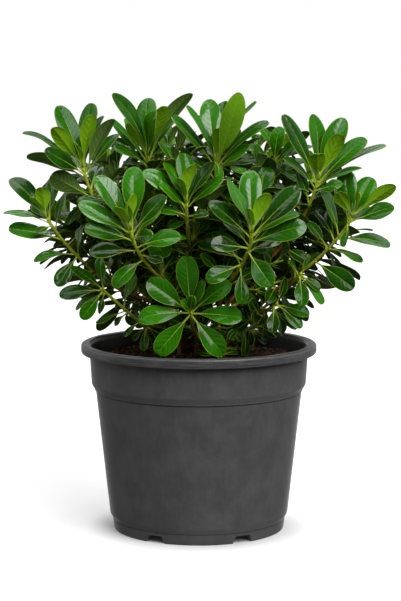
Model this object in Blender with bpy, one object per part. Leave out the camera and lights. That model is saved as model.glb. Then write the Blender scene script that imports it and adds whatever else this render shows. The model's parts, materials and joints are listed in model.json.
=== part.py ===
"""A dwarf pittosporum in a round nursery pot.

The pot stands on z = 0 with its axis on the origin, and the plant's front looks along -Y.
Sizes are in millimetres, and MM turns them into Blender's metres.
"""
import math
import random

import bpy
from mathutils import Matrix, Vector
from mathutils.bvhtree import BVHTree

MM = 0.001
GAP = 0.3  # left between pieces that touch
UP = Vector((0, 0, 1))

# The pot, a moulded 24 cm container. Radii are outer ones where nothing else is said.
POT_SIDES = 36
POT_HEIGHT = 190.5
RIM_RADIUS = 120.0
RIM_FACE = 9.5
RIM_EDGE = 1.4  # the rounding of the rim's two outer edges
RIM_INNER_RADIUS = 112.0
WALL = 1.8
WALL_TOP_RADIUS = 111.4
SKIRT_FOOT = (109.4, 149.5)
BODY_TOP = (105.3, 143.0)
BODY_FOOT = (91.2, 16.0)
FOOT_STEP = (88.6, 11.4)
FOOT_RADIUS = 87.3
FOOT_WIDTH = 5.5
FOOT_SLOPE = 1.5
RIM_SLOPE = 3.0  # the fall of the rim's inner edge
FLOOR_UNDER = 8.0
FLOOR_TOP = 10.4
NOTCHES = 6
NOTCH_BOTTOM, NOTCH_TOP, NOTCH_HEIGHT = 24.0, 16.0, 7.5
NOTCH_DEPTH = 16.0
DRAIN_RADIUS = 6.0
DRAIN_SIDES = 10
DRAIN_RING = 62.0
CUT_BEYOND = 2.0  # how far a cut runs past the plastic

# The soil, with a low mound in the middle and a lumpy top.
SOIL_GAP = 0.45  # between the soil and the pot's wall
SOIL_EDGE, SOIL_MOUND = 173.0, 180.0
SOIL_LUMP = 1.0
SOIL_WAVES = (0.11, 0.13, 0.21)  # radians for a millimetre
SOIL_RINGS = (84.0, 46.0)
STEM_FOOT = 150.0  # how deep the stems reach into the soil
STEM_COLLAR = 188.0  # up to here a stem runs straight
STEM_HOLE_BEYOND = 8.0

# The stems and the green shoots. Pulls are shares of a line's length, for its curve's handles.
WOOD_SIDES, GREEN_SIDES = 5, 5
WOOD_STEPS, FORK_STEPS, GREEN_STEPS = 5, 4, 3
WOOD_FOOT_R, WOOD_FORK_R, WOOD_END_R = 3.5, 2.4, 1.9
GREEN_FOOT_R, GREEN_TIP_R = 1.8, 1.5
BUD_R, BUD_LENGTH = 1.4, 10.0
BUD_SHOULDER = (0.55, 0.9)  # share of its length, share of its radius
STEM_LEAN = 0.5  # how much a stem leans towards its shoot where it leaves the soil
STEM_PULL, FORK_PULL, GREEN_PULL = 0.3, 0.35, 0.3
GREEN_ELBOW = 0.45  # the share of a green shoot that is in line with its rosette

# A leaf's outline: share of its length, share of its half width.
LEAF_OUTLINE = ((0.0, 0.0), (0.50, 0.80), (0.86, 0.93), (1.0, 0.0))
LEAF_THICK = 0.8
LEAF_ROOT_THICK = 1.3
LEAF_MIDDLE = 0.72
LEAF_SHARE = 0.41  # width over length
LEAF_WIDEST = 22.0
LEAF_LONGEST = 84.0
LEAF_CROWDED = 0.36  # up to this share of its length a leaf may cross others of its shoot
LEAF_ARCH = (0.03, 0.09)  # rise over length
LEAF_FOLD = (0.10, 0.26)
LEAF_ROLL = 14.0
LEAN_MOST = 68.0
YOUNG_SHARE, YOUNG_WIDEST = 0.46, 17.0
YOUNG_ARCH = 0.5  # of a mature leaf's arch
YOUNG_ROOT = 2.0  # above the shoot's tip
ROOT_LEAST = 1.5  # below the shoot's tip
TEST_GROWTH = 0.7  # how much larger a leaf is while its clearance is tested
TO_VIEWER = Vector((0, -0.993, 0.12))  # where the plant's front is seen from

# Each shoot: where it leaves the wood, its tip, its axis there, and its leaves.
# A leaf is the place of its tip, right and up from the shoot's tip as seen from the front, its
# lean in degrees towards the front, how far below the shoot's tip it is rooted, and the share of
# its width that shows from the front, which is negative where its underside shows. A leaf with
# no such share faces its shoot's axis. Young leaves grow from the tip and have no root distance.
FRONT_SHOOTS = {
    "front_low": dict(
        start=(-4, -52, 208), tip=(-8, -88, 233), axis=(0.0, -0.85, 0.53),
        leaves=((-4, 55, 0, 2, 1.0), (-41, 32, 5, 3, 1.0), (38, 30, 5, 4, 0.8),
                (-50, -5, 12, 3, 0.8), (50, -4, 12, 4, 0.85), (-33, -41, 8, 5, 1.0),
                (32, -42, 8, 6, 1.0), (14, 31, 25, 5, 0.5), (2, 17, 45, 2), (-9, 12, 50, 2)),
        young=()),
    "front_right": dict(
        start=(30, -80, 262), tip=(51, -117, 312), axis=(0.05, -0.45, 0.88),
        leaves=((-24, 51, 5, 4, 0.5), (-1, 60, -12, 5, 1.0), (46, 42, 0, 5, 0.9),
                (43, 21, 12, 6, 0.45), (-41, 30, 5, 6, 0.7), (50, 10, 15, 13, 0.9),
                (-39, -9, 28, 18, 0.8), (-26, 11, -20, 16, 0.6), (-50, -13, -30, 34, 0.6),
                (18, -48, 42, 22, 1.0), (-43, -44, 30, 40, 0.85), (-11, -69, 20, 44, 0.85),
                (9, 26, -62, 10), (22, 6, -58, 20)),
        young=((14, 40, 12, -0.8), (-3, 25, 22, -0.4))),
    "front_left": dict(
        start=(-38, -80, 266), tip=(-65, -115, 315), axis=(-0.08, -0.45, 0.88),
        leaves=((-32, 52, 0, 4, 0.75), (5, 60, -12, 5, 1.0), (33, 33, 5, 5, 0.7),
                (-50, 25, 5, 6, 0.75), (-43, 4, 20, 14, 0.75), (21, -3, 55, 9, 0.6),
                (-40, -21, 8, 26, 0.75), (48, -6, 20, 22, 0.7), (54, -10, -20, 28, 0.5),
                (-17, -54, 25, 38, 0.85), (30, -31, 35, 32, 0.7), (25, 19, -30, 12, 0.6),
                (-12, 26, -62, 10), (-24, 4, -58, 18)),
        young=((-13, 24, 25, -0.5), (-1, 28, 20, -0.5), (3, 36, 0, -0.45))),
    "front_middle": dict(
        start=(-9, -50, 292), tip=(-12, -76, 338), axis=(0.0, -0.35, 0.94),
        leaves=((-40, 33, 10, 5, 0.6), (-21, 40, 0, 4, 0.55), (-3, 48, -12, 5, 0.8),
                (28, 40, 8, 5, 0.5), (35, 26, 15, 6, 0.6), (-25, 20, 25, 8, 0.5),
                (-27, -5, 20, 14, 0.7), (21, -9, 30, 16, 0.7), (4, 24, -60, 9),
                (-12, 4, -58, 18)),
        young=((5, 39, 20, -0.6), (-5, 26, 25, -0.3))),
    "top_middle": dict(
        start=(12, -12, 330), tip=(18, -24, 376), axis=(0.05, -0.15, 0.99),
        leaves=((-10, 61, -15, 4, 1.0), (7, 60, -30, 5, 0.8), (25, 71, 0, 5, 1.0),
                (39, 60, 10, 6, 0.2), (49, 42, 5, 8, 0.55), (-45, 45, 5, 8, 0.5),
                (33, 16, 10, 12, 0.6), (-29, 56, 0, 6, 0.2), (-36, 6, 5, 18, 0.6),
                (-4, 18, -62, 12)),
        young=((8, 34, 35, -1.0), (-5, 26, 20, -0.3))),
    "right_high": dict(
        start=(98, -30, 312), tip=(118, -40, 358), axis=(0.2, -0.25, 0.95),
        leaves=((-35, 65, 0, 5, 0.75), (-3, 65, -15, 4, 0.8), (25, 62, -10, 5, 0.95),
                (47, 42, 5, 6, 0.75), (67, 36, 0, 8, 0.25), (43, 12, 10, 9, 0.25),
                (-35, 22, 10, 9, 0.5), (-21, 10, 5, 26, 0.75), (22, -2, 35, 12, 0.6),
                (8, 22, -60, 10)),
        young=((23, 46, 14, -0.9), (-3, 29, 45, -1.0))),
    "left_high": dict(
        start=(-97, -24, 322), tip=(-115, -30, 370), axis=(-0.18, -0.2, 0.96),
        leaves=((-57, 38, 5, 6, 0.3), (-36, 17, 25, 8, 0.6), (-56, 12, -10, 12, -0.5),
                (-26, 61, -14, 4, 0.85), (5, 63, -20, 5, 0.8), (15, 50, -35, 6, 0.6),
                (29, 50, 15, 7, -0.5), (32, 35, -20, 10, 0.5), (-31, -6, 22, 34, -0.9),
                (-14, 16, -60, 12)),
        young=((-32, 38, 20, -0.85), (9, 53, 14, -0.75), (-6, 26, 25, -0.35))),
    "right_side": dict(
        start=(104, -34, 268), tip=(152, -40, 321), axis=(0.4, -0.3, 0.87),
        leaves=((-3, 47, -10, 4, 1.0), (20, 39, 0, 5, 0.9), (42, 10, 5, 7, 0.8),
                (-31, 36, 0, 24, 0.6), (-12, 28, -40, 7, 0.7), (38, -28, 10, 27, 0.6),
                (11, -44, 10, 40, 0.6), (2, -68, 25, 58, 1.0), (-44, -4, 5, 40, 0.6),
                (-12, -27, 40, 8, 0.6), (18, 12, -60, 14)),
        young=((43, 32, 0, -0.75), (-16, 27, 25, -0.8), (6, 26, 20, -0.35))),
    "left_side": dict(
        start=(-96, -32, 259), tip=(-151, -38, 321), axis=(-0.42, -0.3, 0.86),
        leaves=((-38, 38, 0, 4, 0.8), (-42, 6, 10, 8, 0.25), (-38, -10, 5, 28, 0.75),
                (-2, 36, -35, 6, 0.7), (10, 41, -20, 5, 0.75), (18, 22, 5, 16, 0.6),
                (-9, -13, 50, 10, 0.5), (-14, -42, 5, 48, 0.4), (10, -66, 32, 50, 0.95),
                (23, -57, 5, 72, 0.7), (36, -7, 5, 52, 0.5), (-16, 14, -60, 14)),
        young=((-3, 32, 22, -0.95), (-14, 21, 25, -0.4))),
    "top_left": dict(
        start=(-45, -2, 338), tip=(-52, 0, 380), axis=(-0.1, -0.05, 0.99),
        leaves=((-33, 66, 0, 5, 0.4), (-1, 60, -15, 4, 0.9), (45, 68, 3, 4, -0.5),
                (8, 45, 10, 5, 0.4), (-37, 37, -8, 8, 0.5), (-22, 37, -30, 7, 0.6),
                (25, 37, -25, 8, 0.6), (-39, 16, 10, 12, 0.6)),
        young=((18, 52, 14, -0.75), (-19, 34, 18, -0.7))),
    "low_left": dict(
        start=(-52, -46, 211), tip=(-96, -70, 254), axis=(-0.6, -0.5, 0.62),
        leaves=((-1, 32, 0, 5, 0.7), (-41, -5, 5, 4, 0.8), (-20, -29, 10, 4, 1.0),
                (0, -24, 30, 6, 0.6), (-26, -22, -12, 8, 0.5), (-6, -36, 5, 38, 0.5),
                (13, -39, 10, 40, 0.7), (22, -50, 10, 56, 0.7), (33, 14, 5, 34, 0.6),
                (-30, 20, -5, 8, 0.6)),
        young=()),
    "top_right": dict(
        start=(70, 6, 342), tip=(78, 8, 379), axis=(0.1, 0.05, 0.99),
        leaves=((-16, 32, -25, 5, 0.6), (4, 31, -12, 4, 0.9), (33, 26, 8, 6, -0.5),
                (-30, 14, 5, 9, 0.6), (20, 14, 20, 10, 0.6), (38, 12, -20, 12, 0.5)),
        young=((14, 24, 12, -0.75), (6, 19, 20, -0.7))),
    "low_right": dict(
        start=(92, -36, 254), tip=(102, -50, 267), axis=(0.6, -0.5, 0.62),
        leaves=((0, -30, 40, 4, 1.0), (18, -16, 15, 3, 0.8), (21, -30, 15, 5, 0.7),
                (8, 18, -10, 4, 0.6), (-12, 12, -20, 5, 0.6)),
        young=()),
    "low_right_inner": dict(
        start=(62, -32, 226), tip=(78, -50, 237), axis=(0.5, -0.6, 0.62),
        leaves=((32, -12, 5, 4, 0.8), (24, -24, 15, 3, 0.8), (-6, -27, 38, 5, 1.0),
                (8, 26, 0, 4, 0.6), (6, -34, -10, 8, 0.7)),
        young=()),
}

# The other shoots follow a rule, so each has only its places, its count of leaves and its count
# of young ones.
RULED_SHOOTS = {
    "inner_left": dict(start=(-46, -26, 290), tip=(-60, -46, 330), leaves=7, young=0),
    "inner_right": dict(start=(44, -24, 292), tip=(60, -46, 334), leaves=7, young=0),
    "back_left_high": dict(start=(-72, 44, 306), tip=(-95, 66, 350), leaves=8, young=3),
    "back_left_side": dict(start=(-98, 34, 260), tip=(-132, 46, 304), leaves=9, young=3),
    "back_top_left": dict(start=(-26, 48, 324), tip=(-36, 68, 366), leaves=8, young=3),
    "back_top": dict(start=(10, 34, 338), tip=(18, 48, 378), leaves=8, young=3),
    "back_top_right": dict(start=(44, 62, 310), tip=(60, 88, 352), leaves=8, young=3),
    "back_right_high": dict(start=(84, 40, 300), tip=(114, 56, 342), leaves=8, young=3),
    "back_right_side": dict(start=(98, 36, 254), tip=(130, 46, 294), leaves=9, young=3),
    "back_left": dict(start=(-50, 74, 258), tip=(-78, 94, 298), leaves=9, young=0),
    "back_middle": dict(start=(-6, 78, 280), tip=(-12, 98, 322), leaves=9, young=3),
    "back_right_low": dict(start=(26, 78, 250), tip=(40, 94, 284), leaves=8, young=0),
    "back_right": dict(start=(64, 66, 244), tip=(96, 92, 286), leaves=9, young=3),
    "back_low_left": dict(start=(-60, 46, 224), tip=(-94, 70, 252), leaves=8, young=0),
    "back_low": dict(start=(-4, 58, 214), tip=(-10, 94, 234), leaves=7, young=0),
    "back_low_right": dict(start=(60, 34, 216), tip=(90, 58, 240), leaves=8, young=0),
}
RULE_SEED = 11
GOLDEN_TURN = math.radians(137.5)
CROWN_HEART = Vector((0, 0, 232))  # the ruled shoots lean away from here
UPWARD = 0.8  # and this much upwards
# From a ruled shoot's top leaf to its lowest one: degrees from its axis, length, root distance.
SPIRAL_TOP = (38.0, 60.0, 4.0)
SPIRAL_LOW = (96.0, 52.0, 34.0)
SPIRAL_BUNCH = 1.3  # over 1, the leaves crowd towards the top
POLAR_JITTER, LENGTH_JITTER = 7.0, 4.0
YOUNG_POLAR, YOUNG_POLAR_STEP = 24.0, 5.0
YOUNG_LENGTH = (33.0, 42.0)
# How far a change of a leaf's lean, turn, root and size counts when the mildest one is sought.
CHANGE_COSTS = (0.17, 0.25, 0.33, 20.0)

# Each woody stem: its place in the soil, and its branches. The first branch is the stem itself,
# and each other one leaves branch number N at a share of its length. Each ends at a shoot.
WOODY_STEMS = {
    "stem_front": ((-1, -24), (("front_middle", 0, 0.0), ("front_low", 0, 0.16))),
    "stem_front_left": ((-19, -15), (("front_left", 0, 0.0), ("low_left", 0, 0.10),
                                     ("left_side", 0, 0.34), ("inner_left", 0, 0.55))),
    "stem_front_right": ((18, -15), (("front_right", 0, 0.0), ("right_high", 0, 0.34),
                                     ("inner_right", 0, 0.50))),
    "stem_left": ((-26, 8), (("left_high", 0, 0.0), ("back_left_side", 0, 0.36),
                             ("back_low_left", 1, 0.25))),
    "stem_right": ((29, 3), (("right_side", 0, 0.0), ("low_right_inner", 0, 0.30),
                             ("low_right", 0, 0.62))),
    "stem_middle": ((0, 2), (("top_middle", 0, 0.0), ("top_left", 0, 0.45),
                             ("top_right", 0, 0.40))),
    "stem_back_left": ((-14, 24), (("back_top_left", 0, 0.0), ("back_left_high", 0, 0.40),
                                   ("back_left", 0, 0.30))),
    "stem_back": ((4, 36), (("back_middle", 0, 0.0), ("back_low", 0, 0.15),
                            ("back_top", 0, 0.45), ("back_right_low", 0, 0.30))),
    "stem_back_right": ((24, 22), (("back_right_high", 0, 0.0), ("back_top_right", 0, 0.38),
                                   ("back_right", 0, 0.28), ("back_right_side", 0, 0.45),
                                   ("back_low_right", 2, 0.2))),
}

PLACING_ORDER = list(FRONT_SHOOTS) + list(RULED_SHOOTS)

# Each material's colour, as linear light, and its roughness.
MATERIALS = {
    "pot_plastic": ((0.052, 0.054, 0.057), 0.55),
    "soil_mix": ((0.045, 0.028, 0.018), 0.95),
    "bark": ((0.19, 0.095, 0.04), 0.8),
    "mature_leaf": ((0.03, 0.13, 0.022), 0.3),
    "young_leaf": ((0.22, 0.42, 0.04), 0.45),
}


def inner_wall(z):
    """The radius of the pot's inner wall at a height above its floor."""
    line = (BODY_FOOT, BODY_TOP, SKIRT_FOOT, (WALL_TOP_RADIUS, POT_HEIGHT - RIM_FACE))
    for (r0, z0), (r1, z1) in zip(line, line[1:]):
        if z <= z1 or z1 == line[-1][1]:
            return r0 + (r1 - r0) * (z - z0) / (z1 - z0) - WALL


def turned(profile, sides):
    """A solid of revolution, from a profile that starts and ends on the axis."""
    verts = [Vector((0, 0, profile[0][1]))]
    for radius, z in profile[1:-1]:
        for k in range(sides):
            turn = math.tau * k / sides
            verts.append(Vector((radius * math.cos(turn), radius * math.sin(turn), z)))
    verts.append(Vector((0, 0, profile[-1][1])))
    faces = []
    for k in range(sides):
        after = (k + 1) % sides
        faces.append((0, 1 + after, 1 + k))
        for ring in range(len(profile) - 3):
            low, high = 1 + ring * sides, 1 + (ring + 1) * sides
            faces.append((low + k, low + after, high + after, high + k))
        last = 1 + (len(profile) - 3) * sides
        faces.append((last + k, last + after, len(verts) - 1))
    return verts, faces


def notch_block(turn):
    """The block that cuts a notch out of the foot ring, wider below, at an angle round it."""
    centre, half = FOOT_RADIUS - CUT_BEYOND, NOTCH_DEPTH / 2
    verts = []
    for z, width in ((-CUT_BEYOND, NOTCH_BOTTOM), (NOTCH_HEIGHT, NOTCH_TOP)):
        for x, y in ((-half, -width / 2), (half, -width / 2), (half, width / 2),
                     (-half, width / 2)):
            verts.append(Vector((centre + x, y, z)))
    faces = [(3, 2, 1, 0), (4, 5, 6, 7), (0, 1, 5, 4), (1, 2, 6, 5), (2, 3, 7, 6), (3, 0, 4, 7)]
    spin = Matrix.Rotation(turn, 3, "Z")
    return [spin @ v for v in verts], faces


def tube(path, radii, sides, facing=(None, None), point_end=False):
    """A tube with flat ends along a path, or with a pointed far end.

    Facing holds the directions that its two ends are square to, where they aren't the path's.
    """
    across = None
    verts, faces = [], []
    count = len(path)
    for k, (place, radius) in enumerate(zip(path, radii)):
        ahead = (path[k + 1] - place).normalized() if k < count - 1 else facing[1]
        behind = (place - path[k - 1]).normalized() if k else facing[0]
        if k in (0, count - 1):
            along = (facing[0] or ahead) if k == 0 else (facing[1] or behind)
        else:
            along = (ahead + behind).normalized()
        if across is None:
            across = Vector((1, 0.17, 0)) if abs(along.x) < 0.8 else Vector((0, 1, 0.17))
        across = (across - along * across.dot(along)).normalized()
        other = along.cross(across)
        if point_end and k == count - 1:
            verts.append(place.copy())
            continue
        for side in range(sides):
            turn = math.tau * side / sides
            verts.append(place + (across * math.cos(turn) + other * math.sin(turn)) * radius)
    rings = count - 1 if point_end else count
    faces.append(tuple(reversed(range(sides))))
    for ring in range(rings - 1):
        for side in range(sides):
            after = (side + 1) % sides
            low, high = ring * sides, (ring + 1) * sides
            faces.append((low + side, low + after, high + after, high + side))
    last = (rings - 1) * sides
    if point_end:
        for side in range(sides):
            faces.append((last + side, last + (side + 1) % sides, len(verts) - 1))
    else:
        faces.append(tuple(range(last, last + sides)))
    return verts, faces


def curve(p0, p1, p2, p3, steps):
    """Points on a cubic curve."""
    points = []
    for k in range(steps + 1):
        t = k / steps
        s = 1 - t
        points.append(p0 * s ** 3 + p1 * (3 * s * s * t) + p2 * (3 * s * t * t) + p3 * t ** 3)
    return points


def point_along(path, distance):
    """The point at a distance from a path's far end."""
    for low, high in zip(path[-2::-1], path[:0:-1]):
        step = (high - low).length
        if distance <= step or low is path[0]:
            return high - (high - low) * (min(distance, step - ROOT_LEAST) / step)
        distance -= step


def leaf_solid(length, width, arch, fold, growth=0.0, from_share=0.0):
    """A leaf blade along +X with its upper face up, as a plate folded along its midrib."""
    half = width / 2 + growth
    rim = [(s, h) for s, h in LEAF_OUTLINE] + [(s, -h) for s, h in LEAF_OUTLINE[-2:0:-1]]
    if from_share:
        rim = [(max(s, from_share), h) for s, h in rim]
    rim.append((LEAF_MIDDLE, 0.0))
    top, under = [], []
    for share, side in rim:
        x = share * (length + growth)
        z = arch * length * 4 * share * (1 - share) + fold * abs(side) * half
        thick = LEAF_ROOT_THICK if share == 0 else LEAF_THICK
        top.append(Vector((x, side * half, z + thick / 2 + growth / 2)))
        under.append(Vector((x, side * half, z - thick / 2 - growth / 2)))
    count = len(rim) - 1
    faces = [(0, count - 1, 1), (count + 2, 2 * count, count + 1)]
    for k in range(count):
        after = (k + 1) % count
        faces.append((k, after, count + 1 + after, count + 1 + k))
        if k and after:
            faces.append((k, count, after))
            faces.append((count + 1 + after, 2 * count + 1, count + 1 + k))
    faces.append((count - 1, count, 1))
    faces.append((count + 2, 2 * count + 1, 2 * count))
    return top + under, faces


def leaf_frame(root, tip, axis, shown, roll):
    """The matrix of a leaf from its root to its tip, its upper face towards the shoot's axis.

    Where shown is given, the leaf is turned about its own length until that share of its width
    shows from the front.
    """
    along = (tip - root).normalized()
    normal = axis - along * axis.dot(along)
    if normal.length < 0.05:
        normal = UP - along * UP.dot(along)
    normal.normalize()
    if shown is None:
        normal = Matrix.Rotation(roll, 3, along) @ normal
    else:
        facing = TO_VIEWER - along * TO_VIEWER.dot(along)
        turn = math.acos(max(-1.0, min(1.0, shown / max(facing.length, 0.01))))
        choices = [Matrix.Rotation(sign * turn, 3, along) @ facing.normalized()
                   for sign in (1, -1)]
        normal = max(choices, key=normal.dot)
    side = normal.cross(along)
    frame = Matrix((along, side, normal)).transposed().to_4x4()
    frame.translation = root
    return frame


class Shape:
    """Placed geometry with its box and a tree for clearance tests."""

    outer = None  # a leaf's blade without its crowded root

    def __init__(self, verts, faces, owner, frame=None):
        if frame:
            verts = [frame @ v for v in verts]
        self.verts, self.faces, self.owner = verts, faces, owner
        self.low = Vector([min(v[k] for v in verts) for k in range(3)])
        self.high = Vector([max(v[k] for v in verts) for k in range(3)])
        self.tree = BVHTree.FromPolygons(verts, faces)

    def meets(self, other):
        for k in range(3):
            if self.low[k] > other.high[k] or other.low[k] > self.high[k]:
                return False
        return bool(self.tree.overlap(other.tree))


def stem_paths():
    """The centre lines of the green shoots, and of the woody stems with their branches."""
    shoots = {}
    for name, spec in {**FRONT_SHOOTS, **RULED_SHOOTS}.items():
        start, tip = Vector(spec["start"]), Vector(spec["tip"])
        if "axis" in spec:
            axis = Vector(spec["axis"]).normalized()
        else:
            axis = ((tip - CROWN_HEART).normalized() + UP * UPWARD).normalized()
        reach = (tip - start).length
        elbow = tip - axis * reach * GREEN_ELBOW
        first = (elbow - start).normalized()
        begin = start + first * GAP
        pull = reach * GREEN_PULL
        path = curve(begin, begin + first * pull, tip - axis * pull, tip, GREEN_STEPS)
        shoots[name] = dict(path=path, axis=axis, first=first, start=start)
    stems = {}
    for name, (place, branches) in WOODY_STEMS.items():
        lines = []
        for number, (shoot, parent, share) in enumerate(branches):
            end, into = shoots[shoot]["start"], shoots[shoot]["first"]
            if number == 0:
                foot = Vector((place[0], place[1], STEM_FOOT))
                lean = (end - foot).normalized() * STEM_LEAN + UP
                lean.normalize()
                collar = foot + lean * ((STEM_COLLAR - STEM_FOOT) / lean.z)
                pull = (end - collar).length * STEM_PULL
                line = [foot] + curve(collar, collar + lean * pull, end - into * pull, end,
                                      WOOD_STEPS)
            else:
                line = lines[parent]
                position = share * (len(line) - 2) + 1
                k = min(int(position), len(line) - 2)
                origin = line[k].lerp(line[k + 1], position - k)
                pull = (end - origin).length * FORK_PULL
                lean = (line[k + 1] - line[k]).normalized() + (end - origin).normalized()
                lean.normalize()
                line = curve(origin, origin + lean * pull, end - into * pull, end, FORK_STEPS)
            lines.append(line)
        ends = [(None, shoots[shoot]["first"]) for shoot, _, _ in branches]
        stems[name] = list(zip(lines, ends))
    return shoots, stems


def taper(count, first, last):
    """Radii that fall evenly along a line's points."""
    return [first + (last - first) * k / (count - 1) for k in range(count)]


def wood_radii(line, main):
    """The radii along a woody line. The part in the soil keeps its full radius."""
    if main:
        return [WOOD_FOOT_R] + taper(len(line) - 1, WOOD_FOOT_R, WOOD_END_R)
    return taper(len(line), WOOD_FORK_R, WOOD_END_R)


def tries_for(hand_placed):
    """Small changes of a leaf's lean, root, turn and size, the mildest first."""
    if hand_placed:
        leans = (0, 6, -6, 12, -12, 18, -18, 25, -25)
        turns, roots, sizes = (0, 5, -5), (0, 4, -2), (1.0, 0.9, 0.8)
    else:
        leans = (0, 8, -8, 16, -16)
        turns, roots, sizes = (0, 10, -10, 20, -20), (0, 5), (1.0, 0.88, 0.76)
    found = []
    for size in sizes:
        for root in roots:
            for turn in turns:
                for lean in leans:
                    sizes_of_change = (abs(lean), abs(turn), abs(root), 1 - size)
                    cost = sum(a * b for a, b in zip(sizes_of_change, CHANGE_COSTS))
                    found.append((cost, lean, turn, root, size))
    found.sort()
    return [row[1:] for row in found]


def hand_leaf(shoot, spec, change, young):
    """A leaf's root and tip from a hand-chosen row."""
    lean, turn, root_shift, size = change
    tip_point, axis = shoot["path"][-1], shoot["axis"]
    if young:
        root = tip_point + axis * (YOUNG_ROOT + root_shift / 2)
    else:
        root = point_along(shoot["path"], max(ROOT_LEAST, spec[3] + root_shift))
    flat = Vector((tip_point.x + spec[0] - root.x, 0, tip_point.z + spec[1] - root.z))
    flat = Matrix.Rotation(math.radians(turn), 3, "Y") @ flat
    angle = math.radians(max(-LEAN_MOST, min(LEAN_MOST, spec[2] + lean)))
    blade = (flat - Vector((0, math.tan(angle), 0)) * flat.length) * size
    return root, root + blade * min(1.0, LEAF_LONGEST / blade.length)


def ruled_leaf(shoot, row, change, young):
    """A leaf's root and tip from the spiral that the ruled shoots follow."""
    lean, turn, root_shift, size = change
    clock, polar, length, drop = row
    axis = shoot["axis"]
    if young:
        root = shoot["path"][-1] + axis * (YOUNG_ROOT + root_shift / 2)
    else:
        root = point_along(shoot["path"], max(ROOT_LEAST, drop + root_shift))
    across = axis.orthogonal().normalized()
    out = Matrix.Rotation(clock + math.radians(turn), 3, axis) @ across
    polar = polar + math.radians(lean)
    return root, root + (axis * math.cos(polar) + out * math.sin(polar)) * length * size


def spiral_rows(spec, rng):
    """The mature and the young leaves of a shoot that follows the rule."""
    mature, young = [], []
    clock = rng.uniform(0, math.tau)
    count = spec["leaves"]
    for k in range(count):
        share = k / (count - 1)
        polar, length = (a + (b - a) * share for a, b in zip(SPIRAL_TOP[:2], SPIRAL_LOW[:2]))
        polar = math.radians(polar + rng.uniform(-POLAR_JITTER, POLAR_JITTER))
        length += rng.uniform(-LENGTH_JITTER, LENGTH_JITTER)
        drop = SPIRAL_TOP[2] + (SPIRAL_LOW[2] - SPIRAL_TOP[2]) * share ** SPIRAL_BUNCH
        mature.append((clock, polar, length, drop))
        clock += GOLDEN_TURN
    for k in range(spec["young"]):
        polar = math.radians(YOUNG_POLAR + YOUNG_POLAR_STEP * k)
        turn = clock + math.tau * k / spec["young"]
        young.append((turn, polar, rng.uniform(*YOUNG_LENGTH), 0))
    return mature, young


def leaf_rows(name, rng):
    """A shoot's leaves, as its rows with their maker, whether they are young, and their show."""
    if name in FRONT_SHOOTS:
        spec = FRONT_SHOOTS[name]
        for row in spec["leaves"]:
            yield row, hand_leaf, False, row[4] if len(row) > 4 else None
        for row in spec["young"]:
            yield row, hand_leaf, True, row[3]
    else:
        mature, young = spiral_rows(RULED_SHOOTS[name], rng)
        for row in mature:
            yield row, ruled_leaf, False, None
        for row in young:
            yield row, ruled_leaf, True, None


def is_clear(test, outer, shapes, own_crossing):
    """Whether a grown leaf misses the other nodes, and its blade the others of its own node."""
    for other in shapes:
        if other.owner != test.owner:
            if test.meets(other):
                return False
        elif not own_crossing and other.outer and outer.meets(other.outer):
            return False
    return True


def place_leaves(shoots, obstacles):
    """Every leaf of the plant, clear of the other nodes, as a list for each node."""
    placed = {}
    shapes = list(obstacles)
    for number, name in enumerate(PLACING_ORDER):
        shoot = shoots[name]
        rng = random.Random(RULE_SEED + number)
        for row, maker, young, shown in leaf_rows(name, rng):
            owner = ("young_leaves_" if young else "shoot_") + name
            arch = rng.uniform(*LEAF_ARCH) * (YOUNG_ARCH if young else 1.0)
            fold = rng.uniform(*LEAF_FOLD)
            roll = math.radians(rng.uniform(-LEAF_ROLL, LEAF_ROLL))
            changes = tries_for(maker is hand_leaf)
            for own_crossing, change in [(False, c) for c in changes] + [(True, c) for c in changes]:
                root, tip = maker(shoot, row, change, young)
                length = (tip - root).length
                width = min(LEAF_WIDEST, length * LEAF_SHARE)
                if young:
                    width = min(YOUNG_WIDEST, length * YOUNG_SHARE)
                frame = leaf_frame(root, tip, shoot["axis"], shown, roll)
                test = Shape(*leaf_solid(length, width, arch, fold, TEST_GROWTH), owner, frame)
                outer = Shape(*leaf_solid(length, width, arch, fold, 0.0, LEAF_CROWDED), owner, frame)
                if is_clear(test, outer, shapes, own_crossing):
                    blade = Shape(*leaf_solid(length, width, arch, fold), owner, frame)
                    blade.outer = outer
                    shapes.append(blade)
                    leaf = dict(frame=frame, length=length, width=width, arch=arch, fold=fold,
                                blade=blade)
                    placed.setdefault(owner, []).append(leaf)
                    break
    return placed


def material(name, colour, roughness):
    made = bpy.data.materials.new(name)
    made.use_nodes = True
    shader = made.node_tree.nodes["Principled BSDF"]
    shader.inputs["Base Color"].default_value = (*colour, 1)
    shader.inputs["Roughness"].default_value = roughness
    shader.inputs["Metallic"].default_value = 0.0
    return made


def new_object(name, verts, faces, look):
    mesh = bpy.data.meshes.new(name)
    mesh.from_pydata([v * MM for v in verts], [], faces)
    mesh.materials.append(look)
    made = bpy.data.objects.new(name, mesh)
    bpy.context.scene.collection.objects.link(made)
    return made


def combine(body, pieces, operation):
    """Join pieces to a body, or cut them from it, and keep only the result."""
    group = bpy.data.collections.new(body.name + "_pieces")
    bpy.context.scene.collection.children.link(group)
    for number, (verts, faces) in enumerate(pieces):
        mesh = bpy.data.meshes.new(f"{body.name}_piece_{number}")
        mesh.from_pydata([v * MM for v in verts], [], faces)
        group.objects.link(bpy.data.objects.new(mesh.name, mesh))
    change = body.modifiers.new("combine", "BOOLEAN")
    change.operation = operation
    change.operand_type = "COLLECTION"
    change.collection = group
    change.solver = "MANIFOLD"
    bpy.context.view_layer.update()
    seen = body.evaluated_get(bpy.context.evaluated_depsgraph_get())
    result = bpy.data.meshes.new_from_object(seen)
    body.modifiers.clear()
    body.data = result
    for helper in list(group.objects):
        bpy.data.objects.remove(helper)
    bpy.data.collections.remove(group)


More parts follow.
